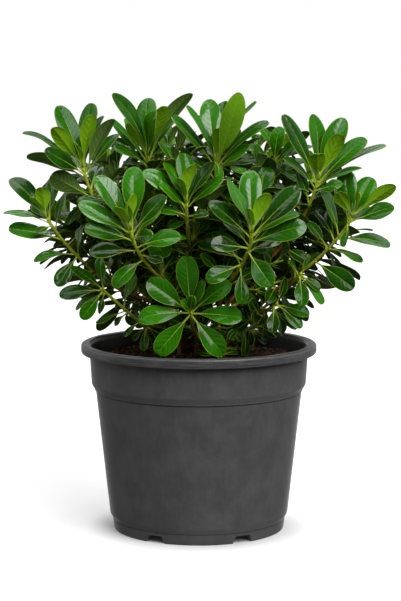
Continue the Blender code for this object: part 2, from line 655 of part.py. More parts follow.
def pot_profile():
    """The pot's outline from the middle of its underside round to the middle of its floor."""
    under_rim = POT_HEIGHT - RIM_FACE
    foot_inner = FOOT_RADIUS - FOOT_WIDTH
    return [
        (0, FLOOR_UNDER), (foot_inner - FOOT_SLOPE, FLOOR_UNDER), (foot_inner, 0), (FOOT_RADIUS, 0),
        FOOT_STEP, BODY_FOOT, BODY_TOP, SKIRT_FOOT, (WALL_TOP_RADIUS, under_rim),
        (RIM_RADIUS - RIM_EDGE, under_rim), (RIM_RADIUS, under_rim + RIM_EDGE),
        (RIM_RADIUS, POT_HEIGHT - RIM_EDGE), (RIM_RADIUS - RIM_EDGE, POT_HEIGHT),
        (RIM_INNER_RADIUS, POT_HEIGHT), (WALL_TOP_RADIUS - WALL, POT_HEIGHT - RIM_SLOPE),
        (inner_wall(SKIRT_FOOT[1]), SKIRT_FOOT[1]), (inner_wall(BODY_TOP[1]), BODY_TOP[1]),
        (inner_wall(BODY_FOOT[1]), BODY_FOOT[1]),
        (FOOT_STEP[0] - WALL, FLOOR_TOP), (0, FLOOR_TOP),
    ]


def make_pot(look):
    pot = new_object("pot", *turned(pot_profile(), POT_SIDES), look)
    cutters = []
    for k in range(NOTCHES):
        turn = math.tau * k / NOTCHES
        cutters.append(notch_block(turn))
        place = Vector((DRAIN_RING * math.cos(turn), DRAIN_RING * math.sin(turn), 0))
        path = [place + UP * (FLOOR_UNDER - CUT_BEYOND), place + UP * (FLOOR_TOP + CUT_BEYOND)]
        cutters.append(tube(path, (DRAIN_RADIUS, DRAIN_RADIUS), DRAIN_SIDES))
    combine(pot, cutters, "DIFFERENCE")


def soil_height(x, y):
    """The soil's top: a low mound with lumps."""
    mound = math.cos(min(1.0, math.hypot(x, y) / WALL_TOP_RADIUS) * math.pi / 2)
    wave_x, wave_y, wave_across = SOIL_WAVES
    lumps = math.sin(x * wave_x) * math.cos(y * wave_y) + math.sin((x - y) * wave_across) / 2
    return SOIL_EDGE + (SOIL_MOUND - SOIL_EDGE) * mound + SOIL_LUMP * lumps


def soil_solid():
    side = [BODY_FOOT[1], BODY_TOP[1], SKIRT_FOOT[1], SOIL_EDGE]
    profile = [(0, FLOOR_TOP + GAP), (FOOT_STEP[0] - WALL - 2 * GAP, FLOOR_TOP + GAP)]
    profile += [(inner_wall(z) - SOIL_GAP, z) for z in side]
    profile += [(radius, SOIL_EDGE) for radius in SOIL_RINGS]
    profile.append((0, SOIL_EDGE))
    verts, faces = turned(profile, POT_SIDES)
    first_top = 1 + (len(side) + 1) * POT_SIDES
    for vert in verts[first_top:]:
        vert.z = soil_height(vert.x, vert.y)
    return verts, faces


def make_soil(look, stems):
    soil = new_object("soil", *soil_solid(), look)
    cutters = []
    for lines in stems.values():
        main = lines[0][0]
        foot, collar = main[:2]
        along = (collar - foot).normalized()
        radii = wood_radii(main, True)
        ends = [foot - along * GAP, collar + along * STEM_HOLE_BEYOND]
        cutters.append(tube(ends, (radii[0] + GAP, radii[1] + GAP), WOOD_SIDES))
    combine(soil, cutters, "DIFFERENCE")


def green_solids(shoots):
    """The green stems, and the small tips that the young leaves grow from."""
    solids = {}
    for name, shoot in shoots.items():
        path, axis = shoot["path"], shoot["axis"]
        radii = taper(len(path), GREEN_FOOT_R, GREEN_TIP_R)
        solids["shoot_" + name] = tube(path, radii, GREEN_SIDES, (shoot["first"], axis))
        spec = FRONT_SHOOTS.get(name) or RULED_SHOOTS[name]
        if spec["young"]:
            length, radius = BUD_LENGTH * BUD_SHOULDER[0], BUD_R * BUD_SHOULDER[1]
            bud = [path[-1] + axis * step for step in (GAP, length, BUD_LENGTH)]
            solids["young_leaves_" + name] = tube(bud, (BUD_R, radius, 0.0), GREEN_SIDES,
                                                  point_end=True)
    return solids


def main():
    for old in list(bpy.data.objects):
        bpy.data.objects.remove(old)
    looks = {name: material(name, *look) for name, look in MATERIALS.items()}
    make_pot(looks["pot_plastic"])
    shoots, stems = stem_paths()
    make_soil(looks["soil_mix"], stems)
    obstacles = [Shape(*turned(pot_profile(), POT_SIDES), "pot"), Shape(*soil_solid(), "soil")]

    for name, lines in stems.items():
        tubes = [tube(line, wood_radii(line, k == 0), WOOD_SIDES, facing)
                 for k, (line, facing) in enumerate(lines)]
        obstacles += [Shape(*shape, name) for shape in tubes]
        body = new_object(name, *tubes[0], looks["bark"])
        if tubes[1:]:
            combine(body, tubes[1:], "UNION")

    green = green_solids(shoots)
    obstacles += [Shape(*solid, name) for name, solid in green.items()]
    placed = place_leaves(shoots, obstacles)
    for name, solid in green.items():
        slot = "young_leaf" if name.startswith("young") else "mature_leaf"
        body = new_object(name, *solid, looks[slot])
        blades = [(leaf["blade"].verts, leaf["blade"].faces) for leaf in placed.get(name, [])]
        if blades:
            combine(body, blades, "UNION")


main()
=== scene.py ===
"""The looks of a dwarf pittosporum in a round nursery pot, made round its fixed solids.

The plant's own lines are in millimetres, as its solids are planned, and MM turns them into
metres. Its front looks along -Y.
"""
import json
import math
import random
from itertools import product

import bpy
import numpy as np
from mathutils import Matrix, Vector, noise
from mathutils.bvhtree import BVHTree

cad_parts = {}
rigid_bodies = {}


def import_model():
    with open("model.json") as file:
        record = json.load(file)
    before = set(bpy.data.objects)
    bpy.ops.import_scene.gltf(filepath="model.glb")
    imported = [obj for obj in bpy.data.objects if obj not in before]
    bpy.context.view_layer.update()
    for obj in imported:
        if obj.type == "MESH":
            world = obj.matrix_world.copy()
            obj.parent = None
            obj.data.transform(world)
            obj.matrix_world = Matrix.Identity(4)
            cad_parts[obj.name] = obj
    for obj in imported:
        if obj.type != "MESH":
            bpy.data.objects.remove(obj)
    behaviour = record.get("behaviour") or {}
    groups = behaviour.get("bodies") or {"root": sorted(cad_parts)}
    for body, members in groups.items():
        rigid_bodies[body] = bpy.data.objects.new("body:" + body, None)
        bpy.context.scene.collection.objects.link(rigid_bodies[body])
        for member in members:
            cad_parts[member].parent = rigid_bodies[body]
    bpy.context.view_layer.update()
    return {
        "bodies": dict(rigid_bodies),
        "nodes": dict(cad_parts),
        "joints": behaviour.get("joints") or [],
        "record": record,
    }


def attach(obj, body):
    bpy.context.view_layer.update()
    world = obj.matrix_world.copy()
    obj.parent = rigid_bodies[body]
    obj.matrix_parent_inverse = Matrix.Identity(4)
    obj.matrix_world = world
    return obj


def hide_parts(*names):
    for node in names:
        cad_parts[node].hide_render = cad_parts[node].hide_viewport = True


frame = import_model()

MM = 0.001
GAP = 0.3  # left between pieces that touch
UP = Vector((0, 0, 1))

# The camera, in metres, with its focal length in pixels of the 401 by 601 frame.
FRAME_HEIGHT = 601
FOCAL_PIXELS = 1935.8
SENSOR = 36.0
CAMERA_PLACE = (0.00174, -1.9569, 0.4695)
CAMERA_PITCH = 0.12

# The pot, a moulded 24 cm container. Radii are outer ones where nothing else is said.
POT_SIDES = 36
POT_HEIGHT = 190.5
RIM_RADIUS = 120.0
RIM_FACE = 9.5
RIM_EDGE = 1.4  # the rounding of the rim's two outer edges
RIM_INNER_RADIUS = 112.0
WALL = 1.8
WALL_TOP_RADIUS = 111.4
SKIRT_FOOT = (109.4, 149.5)
BODY_TOP = (105.3, 143.0)
BODY_FOOT = (91.2, 16.0)
FOOT_STEP = (88.6, 11.4)
FOOT_RADIUS = 87.3
FOOT_WIDTH = 5.5
FOOT_SLOPE = 1.5
RIM_SLOPE = 3.0  # the fall of the rim's inner edge
FLOOR_UNDER = 8.0
FLOOR_TOP = 10.4
NOTCHES = 6
NOTCH_BOTTOM, NOTCH_TOP, NOTCH_HEIGHT = 24.0, 16.0, 7.5
NOTCH_DEPTH = 16.0
DRAIN_RADIUS, DRAIN_RING, DRAIN_SIDES = 6.0, 62.0, 24
CUT_BEYOND = 2.0  # how far a cut runs past the plastic

# The soil, with a low mound in the middle and a lumpy top.
SOIL_GAP = 0.45  # between the soil and the pot's wall
SOIL_EDGE, SOIL_MOUND = 173.0, 180.0
SOIL_LUMP = 1.0
SOIL_WAVES = (0.11, 0.13, 0.21)  # radians for a millimetre
SOIL_RINGS = (84.0, 46.0)
STEM_FOOT = 150.0  # how deep the stems reach into the soil
STEM_COLLAR = 188.0  # up to here a stem runs straight

# The stems and the green shoots. Pulls are shares of a line's length, for its curve's handles.
WOOD_SIDES, GREEN_SIDES = 5, 5
WOOD_STEPS, FORK_STEPS, GREEN_STEPS = 5, 4, 3
WOOD_FOOT_R, WOOD_FORK_R, WOOD_END_R = 3.5, 2.4, 1.9
GREEN_FOOT_R, GREEN_TIP_R = 1.8, 1.5
BUD_R, BUD_TIP_R, BUD_LENGTH = 1.4, 0.3, 10.0
BUD_SHOULDER = (0.55, 0.9)  # share of its length, share of its radius
STEM_LEAN = 0.5  # how much a stem leans towards its shoot where it leaves the soil
STEM_PULL, FORK_PULL, GREEN_PULL = 0.3, 0.35, 0.3
GREEN_ELBOW = 0.45  # the share of a green shoot that is in line with its rosette

# A leaf's outline: share of its length, share of its half width.
LEAF_OUTLINE = ((0.0, 0.0), (0.50, 0.80), (0.86, 0.93), (1.0, 0.0))
LEAF_THICK = 0.8
LEAF_ROOT_THICK = 1.3
LEAF_MIDDLE = 0.72
LEAF_SHARE = 0.41  # width over length
LEAF_WIDEST = 22.0
LEAF_LONGEST = 84.0
LEAF_CROWDED = 0.36  # up to this share of its length a leaf may cross others of its shoot
LEAF_ARCH = (0.03, 0.09)  # rise over length
LEAF_FOLD = (0.10, 0.26)
LEAF_ROLL = 14.0
LEAN_MOST = 68.0
YOUNG_SHARE, YOUNG_WIDEST = 0.46, 17.0
YOUNG_ARCH = 0.5  # of a mature leaf's arch
YOUNG_ROOT = 2.0  # above the shoot's tip
ROOT_LEAST = 1.5  # below the shoot's tip
TEST_GROWTH = 0.7  # how much larger a leaf is while its clearance is tested
TO_VIEWER = Vector((0, -0.993, 0.12))  # where the plant's front is seen from
LEAST_SLANT = 0.05  # a leaf that is nearer in line with its shoot faces up instead
LEAST_FACING = 0.01  # guards a leaf that points straight at the viewer

# Each shoot: where it leaves the wood, its tip, its axis there, and its leaves.
# A leaf is the place of its tip, right and up from the shoot's tip as seen from the front, its
# lean in degrees towards the front, how far below the shoot's tip it is rooted, and the share of
# its width that shows from the front, which is negative where its underside shows. A leaf with
# no such share faces its shoot's axis. Young leaves grow from the tip and have no root distance.
FRONT_SHOOTS = {
    "front_low": dict(
        start=(-4, -52, 208), tip=(-8, -88, 233), axis=(0.0, -0.85, 0.53),
        leaves=((-4, 55, 0, 2, 1.0), (-41, 32, 5, 3, 1.0), (38, 30, 5, 4, 0.8),
                (-50, -5, 12, 3, 0.8), (50, -4, 12, 4, 0.85), (-33, -41, 8, 5, 1.0),
                (32, -42, 8, 6, 1.0), (14, 31, 25, 5, 0.5), (2, 17, 45, 2), (-9, 12, 50, 2)),
        young=()),
    "front_right": dict(
        start=(30, -80, 262), tip=(51, -117, 312), axis=(0.05, -0.45, 0.88),
        leaves=((-24, 51, 5, 4, 0.5), (-1, 60, -12, 5, 1.0), (46, 42, 0, 5, 0.9),
                (43, 21, 12, 6, 0.45), (-41, 30, 5, 6, 0.7), (50, 10, 15, 13, 0.9),
                (-39, -9, 28, 18, 0.8), (-26, 11, -20, 16, 0.6), (-50, -13, -30, 34, 0.6),
                (18, -48, 42, 22, 1.0), (-43, -44, 30, 40, 0.85), (-11, -69, 20, 44, 0.85),
                (9, 26, -62, 10), (22, 6, -58, 20)),
        young=((14, 40, 12, -0.8), (-3, 25, 22, -0.4))),
    "front_left": dict(
        start=(-38, -80, 266), tip=(-65, -115, 315), axis=(-0.08, -0.45, 0.88),
        leaves=((-32, 52, 0, 4, 0.75), (5, 60, -12, 5, 1.0), (33, 33, 5, 5, 0.7),
                (-50, 25, 5, 6, 0.75), (-43, 4, 20, 14, 0.75), (21, -3, 55, 9, 0.6),
                (-40, -21, 8, 26, 0.75), (48, -6, 20, 22, 0.7), (54, -10, -20, 28, 0.5),
                (-17, -54, 25, 38, 0.85), (30, -31, 35, 32, 0.7), (25, 19, -30, 12, 0.6),
                (-12, 26, -62, 10), (-24, 4, -58, 18)),
        young=((-13, 24, 25, -0.5), (-1, 28, 20, -0.5), (3, 36, 0, -0.45))),
    "front_middle": dict(
        start=(-9, -50, 292), tip=(-12, -76, 338), axis=(0.0, -0.35, 0.94),
        leaves=((-40, 33, 10, 5, 0.6), (-21, 40, 0, 4, 0.55), (-3, 48, -12, 5, 0.8),
                (28, 40, 8, 5, 0.5), (35, 26, 15, 6, 0.6), (-25, 20, 25, 8, 0.5),
                (-27, -5, 20, 14, 0.7), (21, -9, 30, 16, 0.7), (4, 24, -60, 9),
                (-12, 4, -58, 18)),
        young=((5, 39, 20, -0.6), (-5, 26, 25, -0.3))),
    "top_middle": dict(
        start=(12, -12, 330), tip=(18, -24, 376), axis=(0.05, -0.15, 0.99),
        leaves=((-10, 61, -15, 4, 1.0), (7, 60, -30, 5, 0.8), (25, 71, 0, 5, 1.0),
                (39, 60, 10, 6, 0.2), (49, 42, 5, 8, 0.55), (-45, 45, 5, 8, 0.5),
                (33, 16, 10, 12, 0.6), (-29, 56, 0, 6, 0.2), (-36, 6, 5, 18, 0.6),
                (-4, 18, -62, 12)),
        young=((8, 34, 35, -1.0), (-5, 26, 20, -0.3))),
    "right_high": dict(
        start=(98, -30, 312), tip=(118, -40, 358), axis=(0.2, -0.25, 0.95),
        leaves=((-35, 65, 0, 5, 0.75), (-3, 65, -15, 4, 0.8), (25, 62, -10, 5, 0.95),
                (47, 42, 5, 6, 0.75), (67, 36, 0, 8, 0.25), (43, 12, 10, 9, 0.25),
                (-35, 22, 10, 9, 0.5), (-21, 10, 5, 26, 0.75), (22, -2, 35, 12, 0.6),
                (8, 22, -60, 10)),
        young=((23, 46, 14, -0.9), (-3, 29, 45, -1.0))),
    "left_high": dict(
        start=(-97, -24, 322), tip=(-115, -30, 370), axis=(-0.18, -0.2, 0.96),
        leaves=((-57, 38, 5, 6, 0.3), (-36, 17, 25, 8, 0.6), (-56, 12, -10, 12, -0.5),
                (-26, 61, -14, 4, 0.85), (5, 63, -20, 5, 0.8), (15, 50, -35, 6, 0.6),
                (29, 50, 15, 7, -0.5), (32, 35, -20, 10, 0.5), (-31, -6, 22, 34, -0.9),
                (-14, 16, -60, 12)),
        young=((-32, 38, 20, -0.85), (9, 53, 14, -0.75), (-6, 26, 25, -0.35))),
    "right_side": dict(
        start=(104, -34, 268), tip=(152, -40, 321), axis=(0.4, -0.3, 0.87),
        leaves=((-3, 47, -10, 4, 1.0), (20, 39, 0, 5, 0.9), (42, 10, 5, 7, 0.8),
                (-31, 36, 0, 24, 0.6), (-12, 28, -40, 7, 0.7), (38, -28, 10, 27, 0.6),
                (11, -44, 10, 40, 0.6), (2, -68, 25, 58, 1.0), (-44, -4, 5, 40, 0.6),
                (-12, -27, 40, 8, 0.6), (18, 12, -60, 14)),
        young=((43, 32, 0, -0.75), (-16, 27, 25, -0.8), (6, 26, 20, -0.35))),
    "left_side": dict(
        start=(-96, -32, 259), tip=(-151, -38, 321), axis=(-0.42, -0.3, 0.86),
        leaves=((-38, 38, 0, 4, 0.8), (-42, 6, 10, 8, 0.25), (-38, -10, 5, 28, 0.75),
                (-2, 36, -35, 6, 0.7), (10, 41, -20, 5, 0.75), (18, 22, 5, 16, 0.6),
                (-9, -13, 50, 10, 0.5), (-14, -42, 5, 48, 0.4), (10, -66, 32, 50, 0.95),
                (23, -57, 5, 72, 0.7), (36, -7, 5, 52, 0.5), (-16, 14, -60, 14)),
        young=((-3, 32, 22, -0.95), (-14, 21, 25, -0.4))),
    "top_left": dict(
        start=(-45, -2, 338), tip=(-52, 0, 380), axis=(-0.1, -0.05, 0.99),
        leaves=((-33, 66, 0, 5, 0.4), (-1, 60, -15, 4, 0.9), (45, 68, 3, 4, -0.5),
                (8, 45, 10, 5, 0.4), (-37, 37, -8, 8, 0.5), (-22, 37, -30, 7, 0.6),
                (25, 37, -25, 8, 0.6), (-39, 16, 10, 12, 0.6)),
        young=((18, 52, 14, -0.75), (-19, 34, 18, -0.7))),
    "low_left": dict(
        start=(-52, -46, 211), tip=(-96, -70, 254), axis=(-0.6, -0.5, 0.62),
        leaves=((-1, 32, 0, 5, 0.7), (-41, -5, 5, 4, 0.8), (-20, -29, 10, 4, 1.0),
                (0, -24, 30, 6, 0.6), (-26, -22, -12, 8, 0.5), (-6, -36, 5, 38, 0.5),
                (13, -39, 10, 40, 0.7), (22, -50, 10, 56, 0.7), (33, 14, 5, 34, 0.6),
                (-30, 20, -5, 8, 0.6)),
        young=()),
    "top_right": dict(
        start=(70, 6, 342), tip=(78, 8, 379), axis=(0.1, 0.05, 0.99),
        leaves=((-16, 32, -25, 5, 0.6), (4, 31, -12, 4, 0.9), (33, 26, 8, 6, -0.5),
                (-30, 14, 5, 9, 0.6), (20, 14, 20, 10, 0.6), (38, 12, -20, 12, 0.5)),
        young=((14, 24, 12, -0.75), (6, 19, 20, -0.7))),
    "low_right": dict(
        start=(92, -36, 254), tip=(102, -50, 267), axis=(0.6, -0.5, 0.62),
        leaves=((0, -30, 40, 4, 1.0), (18, -16, 15, 3, 0.8), (21, -30, 15, 5, 0.7),
                (8, 18, -10, 4, 0.6), (-12, 12, -20, 5, 0.6)),
        young=()),
    "low_right_inner": dict(
        start=(62, -32, 226), tip=(78, -50, 237), axis=(0.5, -0.6, 0.62),
        leaves=((32, -12, 5, 4, 0.8), (24, -24, 15, 3, 0.8), (-6, -27, 38, 5, 1.0),
                (8, 26, 0, 4, 0.6), (6, -34, -10, 8, 0.7)),
        young=()),
}

# The other shoots follow a rule, so each has only its places, its count of leaves and its count
# of young ones.
RULED_SHOOTS = {
    "inner_left": dict(start=(-46, -26, 290), tip=(-60, -46, 330), leaves=7, young=0),
    "inner_right": dict(start=(44, -24, 292), tip=(60, -46, 334), leaves=7, young=0),
    "back_left_high": dict(start=(-72, 44, 306), tip=(-95, 66, 350), leaves=8, young=3),
    "back_left_side": dict(start=(-98, 34, 260), tip=(-132, 46, 304), leaves=9, young=3),
    "back_top_left": dict(start=(-26, 48, 324), tip=(-36, 68, 366), leaves=8, young=3),
    "back_top": dict(start=(10, 34, 338), tip=(18, 48, 378), leaves=8, young=3),
    "back_top_right": dict(start=(44, 62, 310), tip=(60, 88, 352), leaves=8, young=3),
    "back_right_high": dict(start=(84, 40, 300), tip=(114, 56, 342), leaves=8, young=3),
    "back_right_side": dict(start=(98, 36, 254), tip=(130, 46, 294), leaves=9, young=3),
    "back_left": dict(start=(-50, 74, 258), tip=(-78, 94, 298), leaves=9, young=0),
    "back_middle": dict(start=(-6, 78, 280), tip=(-12, 98, 322), leaves=9, young=3),
    "back_right_low": dict(start=(26, 78, 250), tip=(40, 94, 284), leaves=8, young=0),
    "back_right": dict(start=(64, 66, 244), tip=(96, 92, 286), leaves=9, young=3),
    "back_low_left": dict(start=(-60, 46, 224), tip=(-94, 70, 252), leaves=8, young=0),
    "back_low": dict(start=(-4, 58, 214), tip=(-10, 94, 234), leaves=7, young=0),
    "back_low_right": dict(start=(60, 34, 216), tip=(90, 58, 240), leaves=8, young=0),
}
RULE_SEED = 11
GOLDEN_TURN = math.radians(137.5)
CROWN_HEART = Vector((0, 0, 232))  # the ruled shoots lean away from here
UPWARD = 0.8  # and this much upwards
# From a ruled shoot's top leaf to its lowest one: degrees from its axis, length, root distance.
SPIRAL_TOP = (38.0, 60.0, 4.0)
SPIRAL_LOW = (96.0, 52.0, 34.0)
SPIRAL_BUNCH = 1.3  # over 1, the leaves crowd towards the top
POLAR_JITTER, LENGTH_JITTER = 7.0, 4.0
YOUNG_POLAR, YOUNG_POLAR_STEP = 24.0, 5.0
YOUNG_LENGTH = (33.0, 42.0)
# How far a change of a leaf's lean, turn, root and size counts when the mildest one is sought.
CHANGE_COSTS = (0.17, 0.25, 0.33, 20.0)
# The sizes, root shifts, turns and leans to try, in turn, for each of the two kinds of shoots.
HAND_CHANGES = ((1.0, 0.9, 0.8), (0, 4, -2), (0, 5, -5), (0, 6, -6, 12, -12, 18, -18, 25, -25))
RULED_CHANGES = ((1.0, 0.88, 0.76), (0, 5), (0, 10, -10, 20, -20), (0, 8, -8, 16, -16))

# Each woody stem: its place in the soil, and its branches. The first branch is the stem itself,
# and each other one leaves branch number N at a share of its length. Each ends at a shoot.
WOODY_STEMS = {
    "stem_front": ((-1, -24), (("front_middle", 0, 0.0), ("front_low", 0, 0.16))),
    "stem_front_left": ((-19, -15), (("front_left", 0, 0.0), ("low_left", 0, 0.10),
                                     ("left_side", 0, 0.34), ("inner_left", 0, 0.55))),
    "stem_front_right": ((18, -15), (("front_right", 0, 0.0), ("right_high", 0, 0.34),
                                     ("inner_right", 0, 0.50))),
    "stem_left": ((-26, 8), (("left_high", 0, 0.0), ("back_left_side", 0, 0.36),
                             ("back_low_left", 1, 0.25))),
    "stem_right": ((29, 3), (("right_side", 0, 0.0), ("low_right_inner", 0, 0.30),
                             ("low_right", 0, 0.62))),
    "stem_middle": ((0, 2), (("top_middle", 0, 0.0), ("top_left", 0, 0.45),
                             ("top_right", 0, 0.40))),
    "stem_back_left": ((-14, 24), (("back_top_left", 0, 0.0), ("back_left_high", 0, 0.40),
                                   ("back_left", 0, 0.30))),
    "stem_back": ((4, 36), (("back_middle", 0, 0.0), ("back_low", 0, 0.15),
                            ("back_top", 0, 0.45), ("back_right_low", 0, 0.30))),
    "stem_back_right": ((24, 22), (("back_right_high", 0, 0.0), ("back_top_right", 0, 0.38),
                                   ("back_right", 0, 0.28), ("back_right_side", 0, 0.45),
                                   ("back_low_right", 2, 0.2))),
}

ALL_SHOOTS = {**FRONT_SHOOTS, **RULED_SHOOTS}  # in the order in which their leaves are placed

# Where a tube's first side starts: the second one serves a tube that runs mostly along X.
TUBE_STARTS = (Vector((1, 0.17, 0)), Vector((0, 1, 0.17)))
MOSTLY_X = 0.8


def inner_wall(z):
    """The radius of the pot's inner wall at a height above its floor."""
    line = (BODY_FOOT, BODY_TOP, SKIRT_FOOT, (WALL_TOP_RADIUS, POT_HEIGHT - RIM_FACE))
    for (r0, z0), (r1, z1) in zip(line, line[1:]):
        if z <= z1 or z1 == line[-1][1]:
            return r0 + (r1 - r0) * (z - z0) / (z1 - z0) - WALL


def circle(sides):
    """The directions from a circle's middle to points around it."""
    turns = [math.tau * k / sides for k in range(sides)]
    return [(math.cos(turn), math.sin(turn)) for turn in turns]


def belt(low, high, sides):
    """The faces between two rings, by the numbers of the rings' first points."""
    return [(low + k, low + (k + 1) % sides, high + (k + 1) % sides, high + k)
            for k in range(sides)]


def fan(ring, sides, end):
    """The faces from a ring to a point past it, by the number of its first point."""
    return [(ring + k, ring + (k + 1) % sides, end) for k in range(sides)]


def turned(profile, sides):
    """A solid of revolution, from a profile that starts and ends on the axis."""
    verts = [Vector((0, 0, profile[0][1]))]
    for radius, z in profile[1:-1]:
        verts += [Vector((radius * x, radius * y, z)) for x, y in circle(sides)]
    end = len(verts)
    verts.append(Vector((0, 0, profile[-1][1])))
    rings = range(1, end, sides)
    faces = [face[::-1] for face in fan(1, sides, 0)]
    for low, high in zip(rings, rings[1:]):
        faces += belt(low, high, sides)
    return verts, faces + fan(rings[-1], sides, end)


def notch_block(turn):
    """The block that cuts a notch out of the foot ring, wider below, at an angle round it."""
    centre, half = FOOT_RADIUS - CUT_BEYOND, NOTCH_DEPTH / 2
    verts = []
    for z, width in ((-CUT_BEYOND, NOTCH_BOTTOM), (NOTCH_HEIGHT, NOTCH_TOP)):
        for x, y in ((-half, -width / 2), (half, -width / 2), (half, width / 2),
                     (-half, width / 2)):
            verts.append(Vector((centre + x, y, z)))
    faces = [(3, 2, 1, 0), (4, 5, 6, 7), (0, 1, 5, 4), (1, 2, 6, 5), (2, 3, 7, 6), (3, 0, 4, 7)]
    spin = Matrix.Rotation(turn, 3, "Z")
    return [spin @ v for v in verts], faces


def square_to(along, across):
    """Two directions square to a line, the first one near the given one, if any."""
    if across is None:
        across = TUBE_STARTS[1] if abs(along.x) > MOSTLY_X else TUBE_STARTS[0]
    across = (across - along * across.dot(along)).normalized()
    return across, along.cross(across)


def tube(path, radii, sides, facing=(None, None), point_end=False):
    """A tube with flat ends along a path, or with a pointed far end.

    Facing holds the directions that its two ends are square to, where they aren't the path's.
    """
    verts, faces, across = [], [tuple(reversed(range(sides)))], None
    count = len(path)
    rings = count - 1 if point_end else count
    for k in range(rings):
        ahead = (path[k + 1] - path[k]).normalized() if k < count - 1 else None
        behind = (path[k] - path[k - 1]).normalized() if k else None
        if k == 0:
            along = facing[0] or ahead
        elif k == count - 1:
            along = facing[1] or behind
        else:
            along = (ahead + behind).normalized()
        across, other = square_to(along, across)
        verts += [path[k] + (across * x + other * y) * radii[k] for x, y in circle(sides)]
        if k:
            faces += belt((k - 1) * sides, k * sides, sides)
    last = (rings - 1) * sides
    if point_end:
        verts.append(path[-1])
        faces += fan(last, sides, last + sides)
    else:
        faces.append(tuple(range(last, last + sides)))
    return verts, faces


def curve(p0, p1, p2, p3, steps):
    """Points on a cubic curve."""
    points = []
    for k in range(steps + 1):
        t = k / steps
        s = 1 - t
        points.append(p0 * s ** 3 + p1 * (3 * s * s * t) + p2 * (3 * s * t * t) + p3 * t ** 3)
    return points


def handles(start, leaving, end, arriving, pull):
    """The four points of a cubic curve, from its two ends and its directions there."""
    return start, start + leaving * pull, end - arriving * pull, end


def point_along(path, distance):
    """The point at a distance from a path's far end."""
    for low, high in zip(path[-2::-1], path[:0:-1]):
        step = (high - low).length
        if distance <= step or low is path[0]:
            return high - (high - low) * (min(distance, step - ROOT_LEAST) / step)
        distance -= step


def leaf_solid(length, width, arch, fold, growth=0.0, from_share=0.0):
    """A leaf blade along +X with its upper face up, as a plate folded along its midrib."""
    half = width / 2 + growth
    rim = list(LEAF_OUTLINE) + [(share, -side) for share, side in LEAF_OUTLINE[-2:0:-1]]
    rim = [(max(share, from_share), side) for share, side in rim]
    rim.append((LEAF_MIDDLE, 0.0))
    top, under = [], []
    for share, side in rim:
        x = share * (length + growth)
        z = arch * length * 4 * share * (1 - share) + fold * abs(side) * half
        thick = LEAF_ROOT_THICK if share == 0 else LEAF_THICK
        top.append(Vector((x, side * half, z + thick / 2 + growth / 2)))
        under.append(Vector((x, side * half, z - thick / 2 - growth / 2)))
    count = len(rim) - 1
    faces = [(0, count - 1, 1), (count + 2, 2 * count, count + 1)]
    for k in range(count):
        after = (k + 1) % count
        faces.append((k, after, count + 1 + after, count + 1 + k))
        if k and after:
            faces.append((k, count, after))
            faces.append((count + 1 + after, 2 * count + 1, count + 1 + k))
    faces.append((count - 1, count, 1))
    faces.append((count + 2, 2 * count + 1, 2 * count))
    return top + under, faces


def leaf_frame(root, tip, axis, shown, roll):
    """The matrix of a leaf from its root to its tip, its upper face towards the shoot's axis.

    Where shown is given, the leaf is turned about its own length until that share of its width
    shows from the front.
    """
    along = (tip - root).normalized()
    normal = axis - along * axis.dot(along)
    if normal.length < LEAST_SLANT:
        normal = UP - along * UP.dot(along)
    normal.normalize()
    if shown is None:
        normal = Matrix.Rotation(roll, 3, along) @ normal
    else:
        facing = TO_VIEWER - along * TO_VIEWER.dot(along)
        turn = math.acos(max(-1.0, min(1.0, shown / max(facing.length, LEAST_FACING))))
        choices = [Matrix.Rotation(sign * turn, 3, along) @ facing.normalized()
                   for sign in (1, -1)]
        normal = max(choices, key=normal.dot)
    side = normal.cross(along)
    frame = Matrix((along, side, normal)).transposed().to_4x4()
    frame.translation = root
    return frame


class Shape:
    """Placed geometry with its box and a tree for clearance tests."""

    outer = None  # a leaf's blade without its crowded root

    def __init__(self, verts, faces, owner, frame=None):
        if frame:
            verts = [frame @ v for v in verts]
        self.owner = owner
        self.low = Vector([min(v[k] for v in verts) for k in range(3)])
        self.high = Vector([max(v[k] for v in verts) for k in range(3)])
        self.tree = BVHTree.FromPolygons(verts, faces)

    def meets(self, other):
        """Whether the two cross, by their boxes first."""
        for k in range(3):
            if self.low[k] > other.high[k] or other.low[k] > self.high[k]:
                return False
        return bool(self.tree.overlap(other.tree))


def woody_lines(place, branches, shoots):
    """The lines of one woody stem and of its branches."""
    lines = []
    for number, (shoot, parent, share) in enumerate(branches):
        end, into = shoots[shoot]["start"], shoots[shoot]["first"]
        if number == 0:
            foot = Vector((*place, STEM_FOOT))
            lean = ((end - foot).normalized() * STEM_LEAN + UP).normalized()
            collar = foot + lean * ((STEM_COLLAR - STEM_FOOT) / lean.z)
            bends = handles(collar, lean, end, into, (end - collar).length * STEM_PULL)
            line = [foot] + curve(*bends, WOOD_STEPS)
        else:
            line = lines[parent]["path"]
            position = share * (len(line) - 2) + 1
            k = min(int(position), len(line) - 2)
            origin = line[k].lerp(line[k + 1], position - k)
            lean = (line[k + 1] - line[k]).normalized() + (end - origin).normalized()
            lean.normalize()
            bends = handles(origin, lean, end, into, (end - origin).length * FORK_PULL)
            line = curve(*bends, FORK_STEPS)
        lines.append(dict(path=line, facing=(None, into), handles=bends))
    return lines


